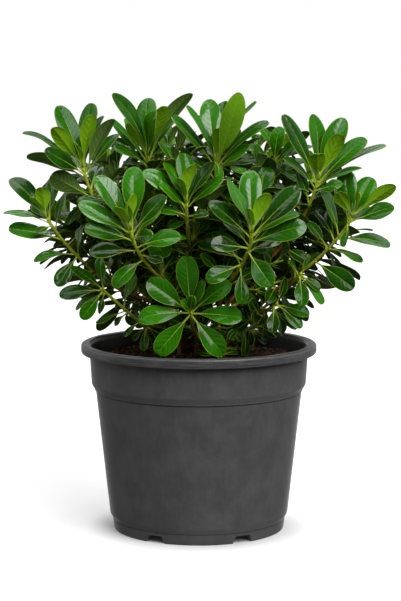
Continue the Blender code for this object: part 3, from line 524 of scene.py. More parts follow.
def stem_paths():
    """The centre lines of the green shoots, and of the woody stems with their branches."""
    shoots = {}
    for name, spec in ALL_SHOOTS.items():
        start, tip = Vector(spec["start"]), Vector(spec["tip"])
        if "axis" in spec:
            axis = Vector(spec["axis"]).normalized()
        else:
            axis = ((tip - CROWN_HEART).normalized() + UP * UPWARD).normalized()
        reach = (tip - start).length
        first = (tip - axis * reach * GREEN_ELBOW - start).normalized()
        bends = handles(start + first * GAP, first, tip, axis, reach * GREEN_PULL)
        shoots[name] = dict(path=curve(*bends, GREEN_STEPS), axis=axis, first=first, start=start,
                            handles=bends)
    stems = {name: woody_lines(*spec, shoots) for name, spec in WOODY_STEMS.items()}
    return shoots, stems


def taper(count, first, last):
    """Radii that fall evenly along a line's points."""
    return [first + (last - first) * k / (count - 1) for k in range(count)]


def wood_radii(line, main):
    """The radii along a woody line. The part in the soil keeps its full radius."""
    if main:
        return [WOOD_FOOT_R] + taper(len(line) - 1, WOOD_FOOT_R, WOOD_END_R)
    return taper(len(line), WOOD_FORK_R, WOOD_END_R)


def tries_for(sizes, roots, turns, leans):
    """Small changes of a leaf's lean, turn, root and size, the mildest first."""
    found = []
    for size, root, turn, lean in product(sizes, roots, turns, leans):
        amounts = (abs(lean), abs(turn), abs(root), 1 - size)
        cost = sum(a * b for a, b in zip(amounts, CHANGE_COSTS))
        found.append((cost, lean, turn, root, size))
    return [row[1:] for row in sorted(found)]


def leaf_root(shoot, drop, shift, young):
    """Where a leaf joins its shoot, which is above the tip for a young one."""
    if young:
        return shoot["path"][-1] + shoot["axis"] * (YOUNG_ROOT + shift / 2)
    return point_along(shoot["path"], max(ROOT_LEAST, drop + shift))


def hand_leaf(shoot, row, change, young):
    """A leaf's root and tip from a listed row."""
    lean, turn, shift, size = change
    right, up, forward, drop = row[:4]
    root = leaf_root(shoot, drop, shift, young)
    tip_point = shoot["path"][-1]
    flat = Vector((tip_point.x + right - root.x, 0, tip_point.z + up - root.z))
    flat = Matrix.Rotation(math.radians(turn), 3, "Y") @ flat
    angle = math.radians(max(-LEAN_MOST, min(LEAN_MOST, forward + lean)))
    blade = (flat - Vector((0, math.tan(angle), 0)) * flat.length) * size
    return root, root + blade * min(1.0, LEAF_LONGEST / blade.length)


def leaf_direction(axis, clock, polar):
    """The direction at an angle from a shoot's axis, and at a place around it."""
    out = Matrix.Rotation(clock, 3, axis) @ axis.orthogonal().normalized()
    return axis * math.cos(polar) + out * math.sin(polar)


def ruled_leaf(shoot, row, change, young):
    """A leaf's root and tip from the spiral that the ruled shoots follow."""
    lean, turn, shift, size = change
    clock, polar, length, drop = row
    root = leaf_root(shoot, drop, shift, young)
    clock, polar = clock + math.radians(turn), polar + math.radians(lean)
    return root, root + leaf_direction(shoot["axis"], clock, polar) * length * size


def spiral_rows(spec, rng):
    """The mature and the young leaves of a shoot that follows the rule."""
    mature, young = [], []
    clock = rng.uniform(0, math.tau)
    count = spec["leaves"]
    for k in range(count):
        share = k / (count - 1)
        polar, length = (a + (b - a) * share for a, b in zip(SPIRAL_TOP[:2], SPIRAL_LOW[:2]))
        polar = math.radians(polar + rng.uniform(-POLAR_JITTER, POLAR_JITTER))
        length += rng.uniform(-LENGTH_JITTER, LENGTH_JITTER)
        drop = SPIRAL_TOP[2] + (SPIRAL_LOW[2] - SPIRAL_TOP[2]) * share ** SPIRAL_BUNCH
        mature.append((clock, polar, length, drop))
        clock += GOLDEN_TURN
    for k in range(spec["young"]):
        polar = math.radians(YOUNG_POLAR + YOUNG_POLAR_STEP * k)
        turn = clock + math.tau * k / spec["young"]
        young.append((turn, polar, rng.uniform(*YOUNG_LENGTH), 0))
    return mature, young


def leaf_rows(name, rng):
    """A shoot's leaves, as its rows with their maker, whether they are young, and their show."""
    if name in FRONT_SHOOTS:
        spec = FRONT_SHOOTS[name]
        for row in spec["leaves"]:
            yield row, hand_leaf, False, row[4] if len(row) > 4 else None
        for row in spec["young"]:
            yield row, hand_leaf, True, row[3]
    else:
        mature, young = spiral_rows(RULED_SHOOTS[name], rng)
        for row in mature:
            yield row, ruled_leaf, False, None
        for row in young:
            yield row, ruled_leaf, True, None


def leaf_shape(leaf, owner, growth=0.0, from_share=0.0):
    """A leaf's plain plate where it is placed, as it is or as its clearance is tested."""
    sizes = [leaf[key] for key in ("length", "width", "arch", "fold")]
    return Shape(*leaf_solid(*sizes, growth, from_share), owner, leaf["frame"])


def is_clear(test, outer, shapes, own_crossing):
    """Whether a grown leaf misses the other nodes, and its blade the others of its own node."""
    for other in shapes:
        if other.owner != test.owner:
            if test.meets(other):
                return False
        elif not own_crossing and other.outer and outer.meets(other.outer):
            return False
    return True


def place_leaves(shoots, shapes):
    """Every leaf of the plant, clear of the other nodes, as a list for each node."""
    placed = {}
    for number, name in enumerate(ALL_SHOOTS):
        shoot = shoots[name]
        rng = random.Random(RULE_SEED + number)
        for row, maker, young, shown in leaf_rows(name, rng):
            owner = ("young_leaves_" if young else "shoot_") + name
            share, widest = (YOUNG_SHARE, YOUNG_WIDEST) if young else (LEAF_SHARE, LEAF_WIDEST)
            arch = rng.uniform(*LEAF_ARCH) * (YOUNG_ARCH if young else 1.0)
            fold = rng.uniform(*LEAF_FOLD)
            roll = math.radians(rng.uniform(-LEAF_ROLL, LEAF_ROLL))
            changes = tries_for(*(HAND_CHANGES if maker is hand_leaf else RULED_CHANGES))
            for own_crossing, change in product((False, True), changes):
                root, tip = maker(shoot, row, change, young)
                length = (tip - root).length
                leaf = dict(frame=leaf_frame(root, tip, shoot["axis"], shown, roll), arch=arch,
                            fold=fold, length=length, width=min(widest, length * share))
                outer = leaf_shape(leaf, owner, 0.0, LEAF_CROWDED)
                if is_clear(leaf_shape(leaf, owner, TEST_GROWTH), outer, shapes, own_crossing):
                    blade = leaf_shape(leaf, owner)
                    blade.outer = outer
                    shapes.append(blade)
                    placed.setdefault(owner, []).append(leaf)
                    break
    return placed


def pot_profile():
    """The pot's outline from the middle of its underside round to the middle of its floor."""
    under_rim = POT_HEIGHT - RIM_FACE
    foot_inner = FOOT_RADIUS - FOOT_WIDTH
    return [
        (0, FLOOR_UNDER), (foot_inner - FOOT_SLOPE, FLOOR_UNDER), (foot_inner, 0), (FOOT_RADIUS, 0),
        FOOT_STEP, BODY_FOOT, BODY_TOP, SKIRT_FOOT, (WALL_TOP_RADIUS, under_rim),
        (RIM_RADIUS - RIM_EDGE, under_rim), (RIM_RADIUS, under_rim + RIM_EDGE),
        (RIM_RADIUS, POT_HEIGHT - RIM_EDGE), (RIM_RADIUS - RIM_EDGE, POT_HEIGHT),
        (RIM_INNER_RADIUS, POT_HEIGHT), (WALL_TOP_RADIUS - WALL, POT_HEIGHT - RIM_SLOPE),
        (inner_wall(SKIRT_FOOT[1]), SKIRT_FOOT[1]), (inner_wall(BODY_TOP[1]), BODY_TOP[1]),
        (inner_wall(BODY_FOOT[1]), BODY_FOOT[1]),
        (FOOT_STEP[0] - WALL, FLOOR_TOP), (0, FLOOR_TOP),
    ]


def soil_height(x, y):
    """The soil's top: a low mound with lumps."""
    mound = math.cos(min(1.0, math.hypot(x, y) / WALL_TOP_RADIUS) * math.pi / 2)
    wave_x, wave_y, wave_across = SOIL_WAVES
    lumps = math.sin(x * wave_x) * math.cos(y * wave_y) + math.sin((x - y) * wave_across) / 2
    return SOIL_EDGE + (SOIL_MOUND - SOIL_EDGE) * mound + SOIL_LUMP * lumps


def soil_body(radii, sides, height):
    """The soil, with rings of these radii in its top, and a height for each place there."""
    profile = [(0, FLOOR_TOP + GAP), (FOOT_STEP[0] - WALL - 2 * GAP, FLOOR_TOP + GAP)]
    for z in (BODY_FOOT[1], BODY_TOP[1], SKIRT_FOOT[1], SOIL_EDGE):
        profile.append((inner_wall(z) - SOIL_GAP, z))
    first_top = 1 + (len(profile) - 1) * sides
    profile += [(radius, SOIL_EDGE) for radius in (*radii, 0)]
    verts, faces = turned(profile, sides)
    for vert in verts[first_top:]:
        vert.z = height(vert.x, vert.y)
    return verts, faces


def bud(shoot):
    """The path and radii of the small tip that a shoot's young leaves grow from."""
    share, width = BUD_SHOULDER
    steps = (GAP, BUD_LENGTH * share, BUD_LENGTH)
    path = [shoot["path"][-1] + shoot["axis"] * step for step in steps]
    return path, (BUD_R, BUD_R * width, BUD_TIP_R)


def green_solids(shoots):
    """The green stems, and the small tips that the young leaves grow from."""
    solids = {}
    for name, shoot in shoots.items():
        path, facing = shoot["path"], (shoot["first"], shoot["axis"])
        radii = taper(len(path), GREEN_FOOT_R, GREEN_TIP_R)
        solids["shoot_" + name] = tube(path, radii, GREEN_SIDES, facing)
        if ALL_SHOOTS[name]["young"]:
            solids["young_leaves_" + name] = tube(*bud(shoot), GREEN_SIDES, point_end=True)
    return solids


# The leaves' fine form. Lengths are in millimetres, and shares are of the leaf's length.
FRONT_ROWS, BACK_ROWS, INNER_ROWS = 40, 16, 9
FRONT_COLUMNS = (0.06, 0.24, 0.50, 0.78, 0.95, 1.0)
BACK_COLUMNS = (0.12, 0.50, 0.88, 1.0)
INNER_COLUMNS = (0.15, 0.72, 1.0)
TIP_CROWDING = 1.6  # rows draw together towards the round tip
STALK_SHARE, WIDEST_SHARE = 0.12, 0.70
STALK_HALF, STALK_CLOSING = 0.9, 3.0  # its half width, and how fast it closes at the tip
BLADE_HALF_THICK, STALK_HALF_THICK = 0.2, 0.75
TIP_SHORT, TIP_HALF_THICK = 0.3, 0.05  # the last point stays a little within the length
BLADE_START = 0.2  # the share over which the stalk turns into the blade
BLADE_RISE, BLADE_END = 1.55, 2.2  # powers of the outline's long widening and round end
RIB_DEPTH, RIB_SPREAD, RIB_FLATTENING = 0.40, 1.0, 0.7
RIB_UNDER = 1.3  # how much farther the rib stands out below
VEIN_SPACING = 6.0
VEIN_SLANT, VEIN_BEND = 0.8, 0.4
VEIN_SWING, VEIN_SWING_TURNS, VEIN_STAGGER = 0.16, 11.0, 0.1
PUCKER, RIB_CLEAR = 0.14, 2.0  # the puckers' height, and where they end beside the rib
# Each leaf draws its own curl at the edges, hook and bend at the tip, twist and edge waves.
CURLS, CURL_POWER = (0.04, 0.20), 3.5
HOOKS, HOOK_START = (-0.01, 0.06), 0.7
TWIST, BEND = 9.0, 0.03
WAVES, WAVE_TURNS, WAVE_SLANT = (0.3, 1.1), 9.0, 0.8
LUMP_SCALE, LUMP_REACH = 0.35, 2.0  # of the unevenness of stems
SCAR_SPACING = 5.0
MARKS = ("rib", "along", "edge", "vein", "under", "tone")


def linked(name, data):
    """A new object in the scene."""
    made = bpy.data.objects.new(name, data)
    bpy.context.scene.collection.objects.link(made)
    return made


class Skin:
    """Gathers the points, faces, looks and marks of one piece."""

    def __init__(self):
        self.points, self.faces, self.looks = [], [], []
        self.marks = {mark: [] for mark in MARKS}
        self.count = 0

    def add(self, points, faces, look, **marks):
        """Add a closed body. A mark is one value, or one for each point."""
        self.points.append(np.asarray(points, float))
        self.faces += [[k + self.count for k in face] for face in faces]
        self.looks += [look] * len(faces)
        for mark in MARKS:
            self.marks[mark].append(np.broadcast_to(marks.get(mark, 0.0), len(points)))
        self.count += len(points)

    def build(self, name, *materials):
        """Make the piece, which rides the one body."""
        mesh = bpy.data.meshes.new(name)
        mesh.from_pydata((np.concatenate(self.points) * MM).tolist(), [], self.faces)
        for look in materials:
            mesh.materials.append(look)
        mesh.polygons.foreach_set("material_index", self.looks)
        for mark, values in self.marks.items():
            made = mesh.attributes.new(mark, "FLOAT", "POINT")
            made.data.foreach_set("value", np.concatenate(values).astype(np.float32))
        mesh.shade_smooth()
        piece = linked(name, mesh)
        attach(piece, "root")
        return piece


def leaf_grid(rows, half):
    """A leaf's rows along it, its columns across it, and its faces."""
    along = 1 - (1 - np.linspace(0, 1, rows + 1)) ** TIP_CROWDING
    across = np.array([-u for u in reversed(half)] + [0.0] + list(half))
    wide = len(across)
    sheet = rows * wide + 1
    faces = []
    for side in (0, 1):
        base = side * sheet
        for row in range(rows):
            for column in range(wide - 1):
                a = base + row * wide + column
                if row == rows - 1:
                    face = [a, a + 1, base + sheet - 1]
                else:
                    face = [a, a + 1, a + 1 + wide, a + wide]
                faces.append(face if side else face[::-1])
    for row in range(rows):
        for column, turn in ((0, 1), (wide - 1, -1)):
            a = row * wide + column
            b = sheet - 1 if row == rows - 1 else a + wide
            faces.append([a, b, b + sheet, a + sheet][::turn])
    for column in range(wide - 1):
        faces.append([column, column + 1, column + 1 + sheet, column + sheet][::-1])
    return along[:-1], across, faces


FRONT_GRID = leaf_grid(FRONT_ROWS, FRONT_COLUMNS)
BACK_GRID = leaf_grid(BACK_ROWS, BACK_COLUMNS)
INNER_GRID = leaf_grid(INNER_ROWS, INNER_COLUMNS)


def leaf_half_width(t, half):
    """The blade's half width along it: a stalk, a long widening and a round end."""
    rise = np.clip((t - STALK_SHARE) / (WIDEST_SHARE - STALK_SHARE), 0, 1)
    blade = np.sin(rise * math.pi / 2) ** BLADE_RISE
    fall = np.clip((t - WIDEST_SHARE) / (1 - WIDEST_SHARE), 0, 1)
    end = np.sqrt(np.clip(1 - fall ** BLADE_END, 0, 1))
    return np.maximum(STALK_HALF * np.minimum(1, end * STALK_CLOSING), half * blade * end)


def add_leaf(skin, leaf, look, rng, grid):
    """One leaf with its stalk, rib and puckered blade, as a closed thin body."""
    t, u, faces = grid
    length, fold = leaf["length"], leaf["fold"]
    half = leaf_half_width(t, leaf["width"] / 2)
    tt, uu = np.meshgrid(t, u, indexing="ij")
    y = uu * half[:, None]
    blade = np.clip((tt - STALK_SHARE) / BLADE_START, 0, 1)
    curl, hook = rng.uniform(*CURLS), rng.uniform(*HOOKS)
    twist, bend = math.radians(rng.uniform(-TWIST, TWIST)), rng.uniform(-BEND, BEND)
    wave, phase = rng.uniform(*WAVES), rng.uniform(0, math.tau)
    vein = (tt * length - np.abs(y) * (VEIN_SLANT + VEIN_BEND * uu ** 2)) / VEIN_SPACING
    vein += rng.uniform(0, 1) + VEIN_SWING * np.sin(tt * VEIN_SWING_TURNS + phase)
    vein += VEIN_STAGGER * np.sign(uu)
    z = leaf["arch"] * length * 4 * tt * (1 - tt)
    z += blade * (fold * np.abs(y) - curl * half[:, None] * np.abs(uu) ** CURL_POWER)
    z -= hook * length * np.clip((tt - HOOK_START) / (1 - HOOK_START), 0, 1) ** 2
    z += blade * wave * np.sin(tt * WAVE_TURNS + phase + uu * WAVE_SLANT) * uu ** 2
    quilt = np.clip(np.abs(y) / RIB_CLEAR, 0, 1) * (1 - uu ** 4) * blade
    z -= PUCKER * np.cos(math.tau * vein) * quilt
    groove = RIB_DEPTH * np.exp(-(y / RIB_SPREAD) ** 2) * blade * (1 - RIB_FLATTENING * tt)
    thick = BLADE_HALF_THICK + (STALK_HALF_THICK - BLADE_HALF_THICK) * (1 - blade) * (1 - uu ** 2)
    top = z + thick - groove
    under = z - thick - RIB_UNDER * groove
    sides = y + bend * length * tt ** 2
    points = []
    for surface, lift in ((top, TIP_HALF_THICK), (under, -TIP_HALF_THICK)):
        sheet = np.stack([tt * length, sides, surface], axis=-1).reshape(-1, 3)
        end = (length - TIP_SHORT, bend * length, lift - hook * length)
        points.append(np.vstack([sheet, end]))
    points = np.vstack(points)
    turn = twist * np.clip(points[:, 0] / length, 0, 1)
    across, rise = points[:, 1].copy(), points[:, 2].copy()
    points[:, 1] = across * np.cos(turn) - rise * np.sin(turn)
    points[:, 2] = across * np.sin(turn) + rise * np.cos(turn)
    place = np.array(leaf["frame"])
    points = points @ place[:3, :3].T + place[:3, 3]

    def both(values, last):
        return np.tile(np.append(values.ravel(), last), 2)

    skin.add(points, faces, look, rib=both(np.abs(y), 0.0), along=both(tt, 1.0),
             edge=both(half[:, None] - np.abs(y), 0.0), vein=both(vein, 0.0),
             under=np.repeat((0.0, 1.0), tt.size + 1), tone=rng.uniform(*leaf["tones"]))


def add_tube(skin, path, radii, sides, look, lumps=0.0, along=(0.0, 1.0)):
    """A round stem along a path, closed at both ends, with a little unevenness."""
    points, faces, run, across = [], [], [0.0], None
    count = len(path)
    for k, place in enumerate(path):
        ahead = path[min(k + 1, count - 1)] - path[max(k - 1, 0)]
        across, other = square_to(ahead.normalized(), across)
        if k:
            run.append(run[-1] + (place - path[k - 1]).length)
            faces += belt((k - 1) * sides, k * sides, sides)
        for x, y in circle(sides):
            out = across * x + other * y
            rough = 1 + lumps * noise.noise((place + out * LUMP_REACH) * LUMP_SCALE)
            points.append(tuple(place + out * radii[k] * rough))
    last = count * sides
    points += [tuple(path[0]), tuple(path[-1])]
    faces += [face[::-1] for face in fan(0, sides, last)] + fan(last - sides, sides, last + 1)
    share = np.repeat(np.linspace(*along, count), sides)
    rings = np.repeat(run, sides) / SCAR_SPACING
    skin.add(points, faces, look, along=np.append(share, along),
             vein=np.append(rings, (rings[0], rings[-1])))


# The materials. Noise scales are for a metre, and colours are linear light.
SPECULAR = dict(leaf=0.03, stem=0.12, pot=0.6, soil=0.2, floor=0.1)
RIB_FOOT, RIB_TIP, RIB_FADE = 0.68, 0.14, 0.92  # half widths in millimetres, and its fading
VEIN_LINE = (0.12, 0.02)
PATCHES, FAINTNESS, FINE = 55.0, 160.0, 900.0
LEAF_RELIEF = 0.0005
COAT_ROUGHNESS, COAT_IOR = 0.15, 1.62
DULL_HEIGHTS = (0.24, 0.33)  # the leaves grow duller below, in metres
BLOTCHES, STEM_STREAKS, STEM_RELIEF = 260.0, 90.0, 0.0008
CLOUDS, BRUSHED, RIM_STREAKS, GRAIN, POT_RELIEF = 40.0, 220.0, 60.0, 1500.0, 0.0002
POT_DARK, POT_LIGHT, POT_HIGHLIGHT_COLOUR = (0.072, 0.072, 0.073), (0.102, 0.102, 0.103), (0.24, 0.24, 0.245)
# Painted shade: the first colour darkens the pot's inside and its painted shadow lines; the second
# darkens the rim's streaks and, as painted shade, the up-facing faces.
POT_SHADE_COLOUR, POT_STREAK_AND_TOP_SHADE = (0.010, 0.010, 0.010), (0.040, 0.040, 0.041)
POT_EDGE_HIGHLIGHTS = ((143.6, 0.1), (181.9, 0.6), (189.4, 0.05))  # moulded edges' heights, and the strength of the painted highlight along each
POT_SHADOW_LINES = ((142.2, 0.7), (11.0, 0.6))  # the heights of the painted shadow lines, and how dark they are
EDGE_LINE, SHADOW_LINE_WIDTHS = (0.0009, 0.0003), (0.0008, 0.0003)  # where a line ends and is full
# How much the downward-facing slopes are lightened, as painted highlight.
SLOPE_HIGHLIGHT = 0.3
CRUMBS, CRUMB_RELIEF = 420.0, 0.0015


class Wire:
    """A value in a node tree. Arithmetic with it adds math nodes."""

    def __init__(self, graph, socket):
        self.graph, self.socket = graph, socket

    def __add__(self, other):
        return self.graph.math("ADD", self, other)

    def __sub__(self, other):
        return self.graph.math("SUBTRACT", self, other)

    def __mul__(self, other):
        return self.graph.math("MULTIPLY", self, other)

    def __truediv__(self, other):
        return self.graph.math("DIVIDE", self, other)

    def inverse(self):
        return self.graph.math("SUBTRACT", 1.0, self)

    def most(self, other):
        return self.graph.math("MAXIMUM", self, other)

    def ramp(self, start, end, low=0.0, high=1.0):
        """A smooth step from low to high, as the value goes from start to end."""
        inputs = {"Value": self, "From Min": start, "From Max": end, "To Min": low, "To Max": high}
        return self.graph.node("MapRange", inputs, interpolation_type="SMOOTHSTEP")

    def line(self, middle, widths):
        """A line where the value is near a middle one."""
        return self.graph.math("ABSOLUTE", self - middle).ramp(*widths)


class Graph:
    """A node tree, with short ways to add nodes to it."""

    def __init__(self, tree):
        self.tree = tree

    def feed(self, socket, value):
        if isinstance(value, Wire):
            self.tree.links.new(value.socket, socket)
        else:
            socket.default_value = value

    def node(self, kind, inputs, output=0, **settings):
        made = self.tree.nodes.new("ShaderNode" + kind)
        for key, value in settings.items():
            setattr(made, key, value)
        for key, value in inputs.items():
            self.feed(made.inputs[key], value)
        return Wire(self, made.outputs[output])

    def math(self, operation, *values):
        return self.node("Math", dict(enumerate(values)), operation=operation)

    def vector(self, operation, *values, output=0):
        return self.node("VectorMath", dict(enumerate(values)), output, operation=operation)

    def mix(self, share, first, second):
        inputs = {0: share, 6: (*first, 1) if isinstance(first, tuple) else first,
                  7: (*second, 1) if isinstance(second, tuple) else second}
        return self.node("Mix", inputs, 2, data_type="RGBA")

    def mark(self, name):
        """One of the values that a piece's points carry."""
        return self.node("Attribute", {}, "Fac", attribute_name=name)

    def coordinate(self, kind, axis=None):
        """A kind of texture coordinate, or its part along one axis."""
        found = self.node("TexCoord", {}, kind)
        return found if axis is None else self.node("SeparateXYZ", {0: found}, axis)

    def off_axis(self):
        """The way from the pot's axis, level, and its length."""
        way = self.vector("MULTIPLY", self.coordinate("Object"), (1, 1, 0))
        return way, self.vector("LENGTH", way, output="Value")

    def noise(self, scale, detail=3.0, roughness=0.55, stretch=(1, 1, 1)):
        inputs = {"Vector": self.coordinate("Object"), "Scale": stretch}
        inputs = {"Vector": self.node("Mapping", inputs), "Scale": scale, "Detail": detail,
                  "Roughness": roughness}
        return self.node("TexNoise", inputs, "Fac")


class Material(Graph):
    """The node tree of a material, with its one shader."""

    def __init__(self, name, specular):
        self.material = bpy.data.materials.new(name)
        self.material.use_nodes = True
        super().__init__(self.material.node_tree)
        self.set("Specular IOR Level", specular)

    def set(self, name, value):
        self.feed(self.tree.nodes["Principled BSDF"].inputs[name], value)

    def bump(self, height, distance, strength):
        inputs = {"Height": height, "Distance": distance, "Strength": strength}
        self.set("Normal", self.node("Bump", inputs))

    def finish(self, colour, roughness):
        self.set("Base Color", colour)
        self.set("Roughness", roughness)
        return self.material


def leaf_look(name, deep, light, fresh, back, rib_colour, gloss, coat):
    """A leaf's skin: tone from leaf to leaf, painted shade towards the base of its upper face, a
    pale rib and stalk, fine veins and a light edge.

    A tone from 0 to 1 runs from deep to light, and one from 1 to 2 on to a dull fresh green.
    """
    g = Material(name, SPECULAR["leaf"])
    rib, along, edge, vein, under, tone = (g.mark(mark) for mark in MARKS)
    rib_width = along * (RIB_TIP - RIB_FOOT) + RIB_FOOT
    on_rib = (rib / rib_width).ramp(1.4, 0.5) * (along * -RIB_FADE + 1.0)
    on_rib = on_rib.most(along.ramp(0.20, 0.09))
    inside = edge.ramp(0.4, 2.5)
    faint = g.noise(FAINTNESS, 2.0).ramp(0.25, 0.75, 0.2, 1.0)
    on_vein = g.math("PINGPONG", vein, 0.5).ramp(*VEIN_LINE) * inside * faint
    patches = g.noise(PATCHES).ramp(0.3, 0.7)
    ripe, freshness = tone.ramp(0.0, 1.0), tone.ramp(1.0, 2.0)
    # Painted shade: each leaf's face darkens towards its base, where the other leaves shade it.
    tone_and_base_shade = (ripe * 0.75 + patches * 0.25) * along.ramp(0.15, 0.75, 0.55, 1.0)
    face = g.mix(on_vein * 0.25, g.mix(tone_and_base_shade, deep, light), deep)
    face = g.mix(freshness * (on_vein * -0.15 + 1.0), face, fresh)
    underside = g.mix(ripe * 0.5 + 0.5, deep, back)
    underside = g.mix(on_vein * 0.3, underside, rib_colour)
    colour = g.mix(under, face, underside)
    colour = g.mix(edge.ramp(0.7, 0.15) * 0.45, colour, rib_colour)
    colour = g.mix(on_rib * 0.95, colour, rib_colour)
    waves = g.math("COSINE", vein * math.tau) * -0.35
    relief = (on_vein * -0.8 + waves) * inside * (freshness * -0.7 + 1.0)
    g.bump(relief + g.noise(FINE, 4.0).ramp(0.35, 0.65) * 0.25, LEAF_RELIEF, 0.6)
    dull = under.most(freshness * 0.7)
    dry = (on_vein * 0.75).most(on_rib * 0.8)
    shine = g.math("FRACT", tone * 17.0).ramp(0.1, 0.8, 0.35, 1.0)
    shine *= g.coordinate("Object", "Z").ramp(*DULL_HEIGHTS, 0.55, 1.0)
    g.set("Coat Weight", dull.inverse() * coat * shine * dry.inverse())
    g.set("Coat Roughness", COAT_ROUGHNESS)
    g.set("Coat IOR", COAT_IOR)
    return g.finish(colour, patches * 0.08 + gloss + under * 0.2)


def stem_look(name, foot, tip, band, roughness):
    """A stem's skin from its foot's colour to its tip's, with dark scars across it."""
    g = Material(name, SPECULAR["stem"])
    blotches = g.noise(BLOTCHES, 5.0).ramp(0.35, 0.7)
    streaks = g.noise(STEM_STREAKS, 2.0).ramp(0.4, 0.65)
    share = g.math("POWER", g.mark("along"), 0.7) * 0.85 + streaks * 0.15
    swing = g.math("PINGPONG", g.mark("vein") + blotches * 0.3, 0.5)
    scars = swing.ramp(0.12, 0.03) * streaks
    dark = (blotches * 0.4).most(scars * 0.8)
    g.bump(blotches + scars, STEM_RELIEF, 0.6)
    return g.finish(g.mix(dark, g.mix(share, foot, tip), band), roughness)


def pot_look():
    """Matt moulded plastic: faint clouds, a fine grain and rim streaks, with painted highlights on
    its moulded edges and lower slopes, painted shadow lines, and painted shade on its inside and
    up-facing faces.
    """
    g = Material("pot_plastic", SPECULAR["pot"])
    clouds = g.noise(CLOUDS, 6.0, 0.7).ramp(0.36, 0.64)
    brushed = g.noise(BRUSHED, 4.0, 0.7, (1, 1, 0.35)).ramp(0.3, 0.7)
    streaks = g.noise(RIM_STREAKS, 3.0, 0.6, (1, 1, 14)).ramp(0.35, 0.65)
    height, upward = g.coordinate("Object", "Z"), g.coordinate("Normal", "Z")
    colour = g.mix(clouds * 0.6 + brushed * 0.4, POT_DARK, POT_LIGHT)
    on_rim = height.ramp((POT_HEIGHT - RIM_FACE - 1) * MM, (POT_HEIGHT - RIM_FACE) * MM)
    # The rim's streaks are the plastic's own; the up-facing faces are darkened as painted shade.
    colour = g.mix((on_rim * streaks).most(upward.ramp(0.5, 0.95)), colour, POT_STREAK_AND_TOP_SHADE)
    # Painted shadows: thin dark lines under the skirt's lip and at the foot step.
    for shadow_height, strength in POT_SHADOW_LINES:
        colour = g.mix(height.line(shadow_height * MM, SHADOW_LINE_WIDTHS) * strength, colour, POT_SHADE_COLOUR)
    # Painted shade: faces that look in towards the pot's axis, its inside, are painted near black.
    way, reach = g.off_axis()
    outward = g.vector("DOT_PRODUCT", g.coordinate("Normal"), way, output="Value")
    outside = (outward / reach).ramp(-0.6, -0.2)
    # Painted highlights: the downward-facing slopes and thin lines along the moulded edges are
    # lightened, on the outside only.
    painted_light = upward.ramp(-0.2, -0.45) * upward.ramp(-0.95, -0.75) * SLOPE_HIGHLIGHT
    for edge, strength in POT_EDGE_HIGHLIGHTS:
        painted_light = painted_light.most(height.line(edge * MM, EDGE_LINE) * strength)
    colour = g.mix(painted_light * outside, g.mix(outside, POT_SHADE_COLOUR, colour), POT_HIGHLIGHT_COLOUR)
    g.bump(g.noise(GRAIN, 2.0) + brushed * 1.5, POT_RELIEF, 0.3)
    g.set("Sheen Weight", 0.30)
    g.set("Sheen Roughness", 0.25)
    return g.finish(colour, clouds * 0.08 + 0.36)


def soil_look(name, dark, light):
    """Crumbs of soil or bark."""
    g = Material(name, SPECULAR["soil"])
    crumbs = g.noise(CRUMBS, 6.0, 0.7).ramp(0.42, 0.68)
    g.bump(crumbs, CRUMB_RELIEF, 0.9)
    return g.finish(g.mix(crumbs * 0.5 + g.mark("tone") * 0.5, dark, light), 0.95)


LOOKS = dict(
    mature=leaf_look("mature_leaf_skin", (0.0015, 0.018, 0.0002), (0.031, 0.198, 0.0002),
                     (0.150, 0.360, 0.010), (0.130, 0.250, 0.050), (0.42, 0.56, 0.05), 0.40, 0.88),
    young=leaf_look("young_leaf_skin", (0.135, 0.305, 0.005), (0.185, 0.390, 0.008),
                    (0.185, 0.390, 0.008), (0.230, 0.480, 0.010), (0.36, 0.58, 0.05), 0.50, 0.15),
    green=stem_look("green_stem_skin", (0.17, 0.15, 0.014), (0.44, 0.58, 0.03),
                    (0.09, 0.07, 0.010), 0.6),
    wood=stem_look("bark_skin", (0.27, 0.11, 0.027), (0.25, 0.16, 0.03), (0.060, 0.032, 0.012), 0.8),
    pot=pot_look(),
    soil=soil_look("soil_skin", (0.008, 0.005, 0.004), (0.040, 0.022, 0.012)),
    bits=soil_look("bark_bit_skin", (0.030, 0.016, 0.009), (0.300, 0.160, 0.080)),
)


# The pot's fine form.
POT_FINE_SIDES = 144
EDGE_STEPS, EDGE_SHARE = 4, 0.45  # a rounding takes at most this share of a side
CRISP_EDGE = 0.5
LIP = ((106.2, 143.9), (106.2, 143.0), (105.2, 142.7))  # the skirt's moulded lower edge
SHARP_ANGLE = 28.0


def rounded(profile):
    """A profile with its corners rounded, those of the skirt's foot only a little."""
    made = [profile[0]]
    for before, corner, after in zip(profile, profile[1:], profile[2:]):
        radius = CRISP_EDGE if corner in LIP or corner == SKIRT_FOOT else RIM_EDGE
        corner = Vector(corner)
        back, on = Vector(before) - corner, Vector(after) - corner
        reach = min(radius, back.length * EDGE_SHARE, on.length * EDGE_SHARE)
        start, end = corner + back.normalized() * reach, corner + on.normalized() * reach
        for k in range(EDGE_STEPS + 1):
            s = k / EDGE_STEPS
            made.append(tuple(start * (1 - s) ** 2 + corner * (2 * s * (1 - s)) + end * s ** 2))
    made.append(profile[-1])
    return made


